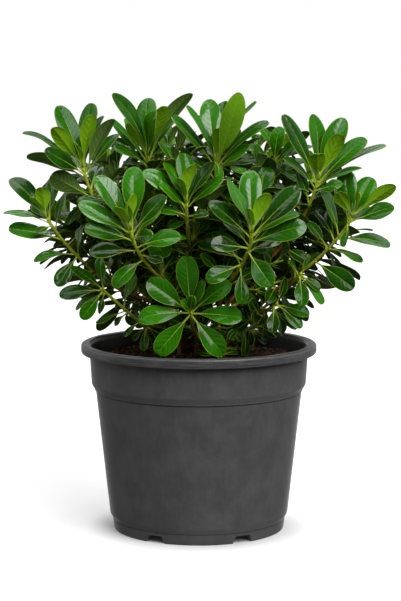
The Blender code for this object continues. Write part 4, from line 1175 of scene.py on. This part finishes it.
def cut(piece, cutters):
    """Cut closed shapes out of a piece."""
    group = bpy.data.collections.new(piece.name + "_cutters")
    bpy.context.scene.collection.children.link(group)
    for number, (verts, faces) in enumerate(cutters):
        mesh = bpy.data.meshes.new(f"cutter_{number}")
        mesh.from_pydata([v * MM for v in verts], [], faces)
        group.objects.link(bpy.data.objects.new(mesh.name, mesh))
    change = piece.modifiers.new("cut", "BOOLEAN")
    change.operation, change.operand_type, change.collection = "DIFFERENCE", "COLLECTION", group
    bpy.context.view_layer.update()
    seen = piece.evaluated_get(bpy.context.evaluated_depsgraph_get())
    result = bpy.data.meshes.new_from_object(seen)
    piece.modifiers.clear()
    piece.data = result
    for helper in list(group.objects):
        bpy.data.objects.remove(helper)
    bpy.data.collections.remove(group)


def make_pot():
    """The pot, with its foot notches and drain holes cut out."""
    skin = Skin()
    profile = pot_profile()
    at = profile.index(BODY_TOP)
    profile[at:at + 1] = reversed(LIP)
    skin.add(*turned(rounded(profile), POT_FINE_SIDES), 0)
    pot = skin.build("nursery_pot", LOOKS["pot"])
    cutters = []
    for number, (x, y) in enumerate(circle(NOTCHES)):
        cutters.append(notch_block(math.tau * number / NOTCHES))
        heights = (FLOOR_UNDER - CUT_BEYOND, FLOOR_TOP + CUT_BEYOND)
        path = [Vector((DRAIN_RING * x, DRAIN_RING * y, z)) for z in heights]
        cutters.append(tube(path, (DRAIN_RADIUS, DRAIN_RADIUS), DRAIN_SIDES))
    cut(pot, cutters)
    pot.data.shade_smooth()
    pot.data.set_sharp_from_angle(angle=math.radians(SHARP_ANGLE))
    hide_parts("pot")


# The soil's fine form, and the bits of bark on it. Bit sizes are half lengths.
SOIL_RADIUS = inner_wall(SOIL_EDGE) - SOIL_GAP
SOIL_FINE_SIDES = 120
SOIL_FINE_RINGS = 46
SOIL_TONE = 0.3
CLOD_SCALE, CLOD_RISE, CLOD_LAYERS = 0.05, 2.2, 5
CRUMB_SCALE, CRUMB_RISE = 0.55, 0.8
SOIL_BITS, BIT_SEED = 2600, 5
BITS_WITHIN = 0.97  # the share of the soil's area that the bits lie on
BIT_SIZE, BIT_FACTORS = (0.6, 2.6), (0.6, 0.8, 1.0, 1.3)
BIT_LONG, BIT_HIGH, BIT_ROUGH = (0.8, 2.2), (0.35, 0.8), (0.7, 1.1)
BIT_TILT, BIT_LIFT = 0.6, 0.3
BIT_CORNERS = ((1, 0, 0), (-1, 0, 0), (0, 1, 0), (0, -1, 0), (0, 0, 1), (0, 0, -1),
               (0.7, 0.7, 0.5), (-0.7, 0.7, -0.5))
BIT_FACES = ((0, 6, 4), (6, 2, 4), (2, 1, 4), (1, 3, 4), (3, 0, 4), (0, 2, 6),
             (0, 5, 2), (2, 5, 7), (7, 5, 1), (2, 7, 1), (1, 5, 3), (3, 5, 0))


def fine_soil_height(x, y):
    """The soil's top with its clods and crumbs."""
    place = Vector((x, y, 0))
    clods = noise.fractal(place * CLOD_SCALE, 1.0, 2.0, CLOD_LAYERS) * CLOD_RISE
    return soil_height(x, y) + clods + noise.noise(place * CRUMB_SCALE) * CRUMB_RISE


def add_bit(skin, rng):
    """One bit of bark, lying on the soil."""
    reach = SOIL_RADIUS * math.sqrt(rng.uniform(0.0, BITS_WITHIN))
    turn = rng.uniform(0, math.tau)
    x, y = reach * math.cos(turn), reach * math.sin(turn)
    size = rng.uniform(*BIT_SIZE) * rng.choice(BIT_FACTORS)
    shape = Vector((size * rng.uniform(*BIT_LONG), size, size * rng.uniform(*BIT_HIGH)))
    spin = Matrix.Rotation(rng.uniform(0, math.tau), 3, "Z")
    spin @= Matrix.Rotation(rng.uniform(-BIT_TILT, BIT_TILT), 3, "X")
    middle = Vector((x, y, fine_soil_height(x, y) + shape.z * BIT_LIFT))
    points = []
    for corner in BIT_CORNERS:
        offset = Vector(c * s * rng.uniform(*BIT_ROUGH) for c, s in zip(corner, shape))
        points.append(tuple(middle + spin @ offset))
    skin.add(points, BIT_FACES, 0, tone=rng.random() ** 2)


def make_soil():
    """The soil, and the bits of bark on it."""
    radii = [SOIL_RADIUS * (1 - k / SOIL_FINE_RINGS) for k in range(1, SOIL_FINE_RINGS)]
    skin = Skin()
    skin.add(*soil_body(radii, SOIL_FINE_SIDES, fine_soil_height), 0, tone=SOIL_TONE)
    soil = skin.build("potting_soil", LOOKS["soil"])
    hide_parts("soil")
    bits = Skin()
    rng = random.Random(BIT_SEED)
    for _ in range(SOIL_BITS):
        add_bit(bits, rng)
    piece = bits.build("soil_bits", LOOKS["bits"])
    piece.data.shade_flat()


# The plant's further leaves, which fill its inside and its shoots' lower parts.
EXTRA_SEED = 29
EXTRA_ROLL = 30.0
EXTRA_TRIES, EXTRA_TURN, EXTRA_SHRINK = 7, 17.0, 0.05
EXTRA_TEST = (0.3, 0.2)  # the growth of a leaf and where it starts, while it is tested
# The tones of the further leaves, darker as painted shade inside the crown, of most leaves, and of
# the low shoot in front.
SHADED_TONES, TONES, BRIGHT_TONES = (0.0, 0.28), (0.1, 0.95), (0.7, 1.0)
LIT_TONES, LIT_FROM = (0.15, 0.75), 335.0  # lighter, as painted light, for the further leaves that end above this height
# Front shoots' leaves with tones of their own, by their place in the shoot's rows. The darkest tone,
# on left_high's row 8, is painted shade for a leaf that lies in shadow.
ROW_TONES = {
    "top_middle": {0: (0.7, 0.9), 2: (1.9, 2.0)},
    "top_left": {1: (0.5, 0.6), 3: (1.2, 1.3), 5: (1.1, 1.2)},
    "left_high": {0: (0.2, 0.3), 1: (0.1, 0.2), 2: (0.9, 1.0), 3: (0.53, 0.54), 4: (0.53, 0.54),
                  8: (0.0, 0.1)},
    "right_high": {2: (0.7, 0.9), 3: (0.7, 0.8)},
    "top_right": {1: (0.7, 0.9), 2: (0.6, 0.7)},
}
HEART_FOOT, HEART_RADIUS, HEART_WIDENING = 196.0, 46.0, 0.62
# Older leaves down each shoot: how far they are rooted below its tip, their degrees from its
# axis, their lengths, and how far back at least they point on a shoot at the front.
LOWER_LEAVES, LOWER_FROM, LOWER_STEP = 7, 8.0, 5.5
LOWER_POLARS, LOWER_LENGTHS, LOWER_BACK = (58, 88), (34, 50), 0.3
# A side shoot's spiral of leaves, from its tip down.
SIDE_FROM, SIDE_STEP = 1.5, 2.6
SIDE_POLAR, SIDE_POLAR_STEP, SIDE_JITTER = 28.0, 9.0, 8.0
# Twigs stand at these shares of a woody line, and lean ahead, outwards, up and at random.
TWIG_SHARES, TWIG_SHIFT = (0.34, 0.52, 0.68, 0.84, 0.96), 0.06
TWIG_LEANS = (0.5, 0.3, 0.25, 0.8)
TWIG_REACH, TWIG_LEAVES, TWIG_LENGTHS = (12, 26), 8, (24, 40)
TWIG_FINE, TWIG_STEPS, TWIG_HANDLES = 30, 4, (0.4, 0.7)
# Sprouts rise out of the soil in a ring.
SPROUTS, SPROUT_RING, SPROUT_SHIFT = 4, (22, 52), 0.6
SPROUT_FOOT, SPROUT_LEAN, SPROUT_REACH = 172.0, 0.6, (22, 34)
SPROUT_LEAVES, SPROUT_LENGTHS, SPROUT_HANDLES = 9, (14, 26), (0.35, 0.7)
# Inner shoots end in a wide lens, low in its middle below and high in its middle above.
INNER_SHOOTS, INNER_LEAVES, INNER_LENGTHS = 110, 10, (26, 42)
INNER_REACH_X, INNER_REACH_Y, INNER_LONGEST = 128.0, 56.0, 60.0
INNER_MIDDLE_Y = 10.0
INNER_LOW, INNER_LOW_RISE = 225.0, 0.45
INNER_HIGH, INNER_HIGH_FALL = 388.0, 0.0034
INNER_UP, FILL_UP, LOW_UP = 0.6, 1.6, -0.1  # how much the inner shoots lean upwards
INNER_WILD = 0.4
INNER_DROP = 8.0  # an inner shoot leaves its stem at least this far below its tip
INNER_HANDLES, INNER_STEPS = (0.3, 0.35), 5
LEAST_LEAVES = 3
STEM_POINTS = 24
# Further inner shoots, listed where the crown is dense: their tips, and their leaves' lengths.
FILL_LENGTHS, LOW_LENGTHS = (24, 36), (20, 30)
FILLS = (
    (-92, 16, 356), (-82, 30, 364), (-72, 18, 358), (-100, 34, 344), (-62, 26, 362), (-78, 12, 342),
    (-40, 14, 378), (-30, 28, 388), (-20, 14, 384), (-8, 30, 382), (-24, 40, 376), (-34, 34, 366),
    (-14, 8, 366), (2, 36, 374), (-22, 14, 356), (8, 20, 360), (-4, 12, 352), (-46, 26, 360),
    (-26, 30, 392), (-12, 22, 390), (-36, 18, 386), (-16, 44, 388), (-2, 42, 388), (-30, 52, 374),
    (34, 14, 350), (44, 26, 362), (54, 36, 370), (64, 22, 362), (74, 38, 356), (84, 26, 364),
    (96, 38, 352), (104, 24, 342), (50, 12, 344), (70, 8, 340), (88, 12, 340),
    (56, 20, 376), (66, 32, 378), (76, 24, 372), (86, 34, 370), (94, 20, 362), (46, 40, 378),
    (36, 30, 374), (102, 32, 360), (60, 46, 384), (78, 48, 376),
    (118, 30, 326), (128, 18, 312), (134, 34, 306), (112, 12, 316),
    (-116, 22, 326), (-128, 14, 308), (-112, 36, 316), (-132, 32, 296),
)
LOW_FILLS = ((20, -38, 212), (62, -40, 212), (54, -34, 206), (-48, -44, 220), (-34, -40, 212),
             (-20, -44, 216), (36, -30, 208), (78, -28, 226), (-56, -24, 228), (-48, -18, 218),
             (-64, -10, 234), (44, -22, 222), (60, -16, 236))
# The fine stems: radii, sides, points along them and unevenness.
FOOT_FINE_R, FORK_FINE_R, END_FINE_R = 3.0, 2.1, 1.8
TWIG_FOOT_R, TWIG_TIP_R = 1.2, 0.8
FINE_SIDES, BUD_SIDES, TWIG_SIDES = 10, 8, 7
WOOD_FINE, GREEN_FINE = 26, 18
WOOD_LUMPS, GREEN_LUMPS = 0.3, 0.2
TWIG_ALONG, BUD_ALONG = (0.0, 0.5), (0.9, 1.0)  # which part of the green's tones they show
PER_PIECE = 24  # how many side shoots make a piece


def in_heart(place):
    """Whether a point is in the crown's inner bowl, which widens upwards from the pot's rim."""
    radius = HEART_RADIUS + (place.z - HEART_FOOT) * HEART_WIDENING
    return place.z > HEART_FOOT and math.hypot(place.x, place.y) < radius


def extra_leaf(owner, root, direction, length, axis, shapes, rng, inside):
    """One more leaf where it is clear of everything, or none."""
    arch, fold = rng.uniform(*LEAF_ARCH), rng.uniform(*LEAF_FOLD)
    roll = math.radians(rng.uniform(-EXTRA_ROLL, EXTRA_ROLL))
    for attempt in range(EXTRA_TRIES):
        turn = math.radians(EXTRA_TURN * ((attempt + 1) // 2) * (-1) ** attempt)
        size = length * (1 - EXTRA_SHRINK * attempt)
        tip = root + (Matrix.Rotation(turn, 3, axis) @ direction) * size
        if inside and not in_heart(tip):
            continue
        leaf = dict(frame=leaf_frame(root, tip, axis, None, roll), length=size, arch=arch,
                    fold=fold, width=min(LEAF_WIDEST, size * LEAF_SHARE), plain=True,
                    tones=LIT_TONES if tip.z > LIT_FROM else SHADED_TONES)
        test = leaf_shape(leaf, owner, *EXTRA_TEST)
        outer = leaf_shape(leaf, owner, 0.0, LEAF_CROWDED)
        if is_clear(test, outer, shapes, False):
            test.outer = outer
            shapes.append(test)
            return leaf
    return None


def add_lower_leaves(shoots, placed, shapes):
    """Older leaves down each green shoot, behind it on the shoots that face the viewer."""
    for number, name in enumerate(ALL_SHOOTS):
        rng = random.Random(EXTRA_SEED + number)
        shoot, owner, front = shoots[name], "shoot_" + name, name in FRONT_SHOOTS
        clock = rng.uniform(0, math.tau)
        for k in range(LOWER_LEAVES):
            clock += GOLDEN_TURN
            root = point_along(shoot["path"], LOWER_FROM + LOWER_STEP * k)
            polar = math.radians(rng.uniform(*LOWER_POLARS))
            direction = leaf_direction(shoot["axis"], clock, polar)
            length = rng.uniform(*LOWER_LENGTHS)
            if front and direction.y < LOWER_BACK:
                continue
            leaf = extra_leaf(owner, root, direction, length, shoot["axis"], shapes, rng, front)
            if leaf:
                placed[owner].append(leaf)


def side_leaves(owner, path, axis, count, lengths, shapes, rng, inside=False):
    """The leaves of a side shoot, in a spiral from its tip down."""
    leaves = []
    clock = rng.uniform(0, math.tau)
    for k in range(count):
        clock += GOLDEN_TURN
        root = point_along(path, SIDE_FROM + k * SIDE_STEP)
        jitter = rng.uniform(-SIDE_JITTER, SIDE_JITTER)
        polar = math.radians(SIDE_POLAR + SIDE_POLAR_STEP * k + jitter)
        direction = leaf_direction(axis, clock, polar)
        leaf = extra_leaf(owner, root, direction, rng.uniform(*lengths), axis, shapes, rng, inside)
        if leaf:
            leaves.append(leaf)
    return leaves


def wild_way(rng):
    """A random direction of a random strength."""
    return Vector(rng.uniform(-1, 1) for _ in range(3))


def twig_path(start, end, shares):
    """A straight twig, with its handles at these shares of it."""
    first, second = (start.lerp(end, share) for share in shares)
    return curve(start, first, second, end, TWIG_STEPS)


def make_twigs(stems, shapes):
    """Short leafy side shoots along the woody stems, and sprouts from the soil."""
    twigs = []
    rng = random.Random(EXTRA_SEED)
    lines = [(name, number, line) for name, group in stems.items()
             for number, line in enumerate(group)]
    for (name, number, line), share in product(lines, TWIG_SHARES):
        fine = curve(*line["handles"], TWIG_FINE)
        k = int(TWIG_FINE * (share + rng.uniform(-TWIG_SHIFT, TWIG_SHIFT)))
        k = min(TWIG_FINE - 2, k)
        start, ahead = fine[k], (fine[k + 1] - fine[k]).normalized()
        outward = Vector((start.x, start.y, 0)).normalized()
        ways = (ahead, outward, UP, wild_way(rng))
        axis = sum((way * lean for way, lean in zip(ways, TWIG_LEANS)), Vector()).normalized()
        path = twig_path(start, start + axis * rng.uniform(*TWIG_REACH), TWIG_HANDLES)
        owner = f"twig_{name}_{number}_{share}"
        leaves = side_leaves(owner, path, axis, TWIG_LEAVES, TWIG_LENGTHS, shapes, rng, True)
        if leaves and in_heart(start):
            twigs.append((path, leaves))
    for number in range(SPROUTS):
        turn = math.tau * (number + rng.uniform(0, SPROUT_SHIFT)) / SPROUTS
        way, ring = Vector((math.cos(turn), math.sin(turn), 0)), rng.uniform(*SPROUT_RING)
        start, axis = way * ring + UP * SPROUT_FOOT, (way * SPROUT_LEAN + UP).normalized()
        path = twig_path(start, start + axis * rng.uniform(*SPROUT_REACH), SPROUT_HANDLES)
        leaves = side_leaves(f"sprout_{number}", path, axis, SPROUT_LEAVES, SPROUT_LENGTHS, shapes,
                             rng)
        twigs.append((path, leaves))
    return twigs


def inner_tips(rng):
    """The inner shoots' tips, their leaves' lengths and how much they lean upwards."""
    tips = []
    for number in range(INNER_SHOOTS):
        share, turn = math.sqrt((number + 0.5) / INNER_SHOOTS), GOLDEN_TURN * number
        tip = Vector((INNER_REACH_X * share * math.cos(turn),
                      INNER_REACH_Y * share * math.sin(turn) + INNER_MIDDLE_Y, 0))
        reach = tip.length
        low, high = INNER_LOW + INNER_LOW_RISE * reach, INNER_HIGH - INNER_HIGH_FALL * reach ** 2
        tip.z = rng.uniform(low, high)
        tips.append((tip, INNER_LENGTHS, INNER_UP))
    tips += [(Vector(place), FILL_LENGTHS, FILL_UP) for place in FILLS]
    return tips + [(Vector(place), LOW_LENGTHS, LOW_UP) for place in LOW_FILLS]


def make_inner_shoots(stems, shoots, shapes):
    """Leafy shoots that fill the crown, each from the nearest stem under it."""
    lines = [line for group in stems.values() for line in group] + list(shoots.values())
    stem_points = [point for line in lines for point in curve(*line["handles"], STEM_POINTS)]
    rng = random.Random(EXTRA_SEED + 1)
    made = []
    for number, (tip, lengths, upward) in enumerate(inner_tips(rng)):
        wild = wild_way(rng) * INNER_WILD
        axis = ((tip - CROWN_HEART).normalized() + UP * upward + wild).normalized()
        below = [point for point in stem_points if point.z < tip.z - INNER_DROP]
        start = min(below, key=lambda point: (point - tip).length)
        reach = (tip - start).length
        if reach > INNER_LONGEST:
            continue
        first, second = INNER_HANDLES
        path = curve(start, start.lerp(tip, first), tip - axis * reach * second, tip, INNER_STEPS)
        owner = f"inner_{number}"
        leaves = side_leaves(owner, path, axis, INNER_LEAVES, lengths, shapes, rng)
        if len(leaves) >= LEAST_LEAVES:
            made.append((path, leaves))
    return made


def make_wood(stems):
    """A piece for each woody stem with its branches."""
    for name, lines in stems.items():
        skin = Skin()
        for k, line in enumerate(lines):
            fine = curve(*line["handles"], WOOD_FINE)
            radii = taper(len(fine), FORK_FINE_R if k else FOOT_FINE_R, END_FINE_R)
            if k == 0:
                fine, radii = [line["path"][0]] + fine, [FOOT_FINE_R] + radii
            add_tube(skin, fine, radii, FINE_SIDES, 0, lumps=WOOD_LUMPS)
        piece = skin.build(name + "_wood", LOOKS["wood"])
        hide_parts(name)


def make_side_shoots(name, twigs):
    """Side shoots with their leaves, several to a piece."""
    rng = random.Random(name)
    for number, start in enumerate(range(0, len(twigs), PER_PIECE), 1):
        skin = Skin()
        for path, leaves in twigs[start:start + PER_PIECE]:
            radii = taper(len(path), TWIG_FOOT_R, TWIG_TIP_R)
            add_tube(skin, path, radii, TWIG_SIDES, 1, along=TWIG_ALONG)
            for leaf in leaves:
                add_leaf(skin, leaf, 0, rng, INNER_GRID)
        piece = skin.build(f"{name}_{number:02d}", LOOKS["mature"], LOOKS["green"])


def make_shoots(shoots, placed):
    """Each shoot with its mature leaves, and each cluster of young ones."""
    for name, shoot in shoots.items():
        tones = BRIGHT_TONES if name == "front_low" else TONES
        for owner, look, slot in (("shoot_" + name, "mature", "mature_leaf"),
                                  ("young_leaves_" + name, "young", "young_leaf")):
            if owner not in placed:
                continue
            skin = Skin()
            rng = random.Random(owner)
            if look == "mature":
                line = curve(*shoot["handles"], GREEN_FINE)
                radii = taper(len(line), GREEN_FOOT_R, GREEN_TIP_R)
                add_tube(skin, line, radii, FINE_SIDES, 1, lumps=GREEN_LUMPS)
            else:
                add_tube(skin, *bud(shoot), BUD_SIDES, 1, along=BUD_ALONG)
            for row, leaf in enumerate(placed[owner]):
                leaf.setdefault("tones", ROW_TONES.get(name, {}).get(row, tones))
                fine = name in FRONT_SHOOTS and not leaf.get("plain")
                add_leaf(skin, leaf, 0, rng, FRONT_GRID if fine else BACK_GRID)
            piece = skin.build(owner + "_fine", LOOKS[look], LOOKS["green"])
            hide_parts(owner)


def make_plant():
    """The stems, the shoots with their leaves, and the further shoots that fill the crown."""
    shoots, stems = stem_paths()
    soil = soil_body(SOIL_RINGS, POT_SIDES, soil_height)
    shapes = [Shape(*turned(pot_profile(), POT_SIDES), "pot"), Shape(*soil, "soil")]
    for name, lines in stems.items():
        for k, line in enumerate(lines):
            radii = wood_radii(line["path"], k == 0)
            solid = tube(line["path"], radii, WOOD_SIDES, line["facing"])
            shapes.append(Shape(*solid, name))
    shapes += [Shape(*solid, name) for name, solid in green_solids(shoots).items()]
    placed = place_leaves(shoots, shapes)
    add_lower_leaves(shoots, placed, shapes)
    make_wood(stems)
    make_shoots(shoots, placed)
    make_side_shoots("side_shoots", make_twigs(stems, shapes))
    make_side_shoots("inner_shoots", make_inner_shoots(stems, shoots, shapes))


# The stage.
WHITE = (1, 1, 1)
FLOOR_HALF = 6.0
FLOOR_COLOUR, FLOOR_ROUGHNESS = (0.75, 0.75, 0.75, 1), 0.7
# Painted light: the floor glows with this strength, so that the shadows on it fade.
FLOOR_GLOW = 0.24
FLOOR_SHADE = (0.088, 0.12)  # the glow starts outside the pot's foot, in metres, which leaves painted shade under and near the foot
# Each light: where it is seen from the plant, how wide it looks in degrees, its strength, and
# whether it shows in gloss.
PANELS = dict(
    panel_right=((0.66, -0.85, 0.95), 46, 2.75, True),
    panel_left=((-0.65, -0.30, 1.0), 40, 0.5, True),
    panel_top=((0.1, 0.30, 1.0), 60, 1.6, True),
    dome=((0.0, 0.0, 1.0), 140, 0.85, False),
    front=((-0.3, -1.0, 0.1), 120, 0.40, False),
    edge_left=((-1.0, 0.45, 0.25), 50, 0.45, True),
    edge_right=((1.0, 0.45, 0.25), 50, 0.30, True),
)
SURROUND = (0.05, 0.05, 0.05)
BACKDROP = (0.75, 1.0, 0.0, 0.9)  # where the pale backdrop starts and is full, and its strength


def make_floor():
    """A pale floor with painted light: it glows a little outside the pot's foot, which leaves
    painted shade under and near the foot.
    """
    mesh = bpy.data.meshes.new("floor")
    corners = [(x * FLOOR_HALF, y * FLOOR_HALF, 0) for x, y in ((-1, -1), (1, -1), (1, 1), (-1, 1))]
    mesh.from_pydata(corners, [], [(0, 1, 2, 3)])
    floor = linked("floor", mesh)
    g = Material("floor_white", SPECULAR["floor"])
    g.set("Emission Color", (*WHITE, 1))
    g.set("Emission Strength", g.off_axis()[1].ramp(*FLOOR_SHADE, 0.0, FLOOR_GLOW))
    mesh.materials.append(g.finish(FLOOR_COLOUR, FLOOR_ROUGHNESS))
    floor.visible_glossy = False
    floor.visible_diffuse = False


def make_lights():
    """Soft light from wide panels, far away."""
    for name, (direction, spread, strength, shows) in PANELS.items():
        light = bpy.data.lights.new(name, "SUN")
        light.angle = math.radians(spread)
        light.energy = strength
        lamp = linked(name, light)
        lamp.rotation_euler = Vector(direction).to_track_quat("Z", "Y").to_euler()
        lamp.visible_glossy = shows


def make_surround():
    """A dark surround, which is white for the camera, with a pale backdrop in the gloss."""
    world = bpy.data.worlds.new("studio")
    bpy.context.scene.world = world
    world.use_nodes = True
    g = Graph(world.node_tree)
    seen, glossy = (g.node("LightPath", {}, f"Is {kind} Ray") for kind in ("Camera", "Glossy"))
    backdrop = g.coordinate("Generated", "Y").ramp(*BACKDROP) * glossy
    background = world.node_tree.nodes["Background"]
    g.feed(background.inputs["Color"], g.mix(seen.most(backdrop), SURROUND, WHITE))


def make_camera():
    """The camera, where the photograph was taken from."""
    data = bpy.data.cameras.new("camera")
    data.sensor_width = SENSOR
    data.lens = FOCAL_PIXELS / FRAME_HEIGHT * SENSOR
    camera = linked("camera", data)
    camera.location = CAMERA_PLACE
    camera.rotation_euler = (math.pi / 2 - CAMERA_PITCH, 0, 0)
    bpy.context.scene.camera = camera


make_camera()
make_floor()
make_lights()
make_surround()
make_pot()
make_soil()
make_plant()
bpy.context.scene.view_settings.view_transform = "Standard"
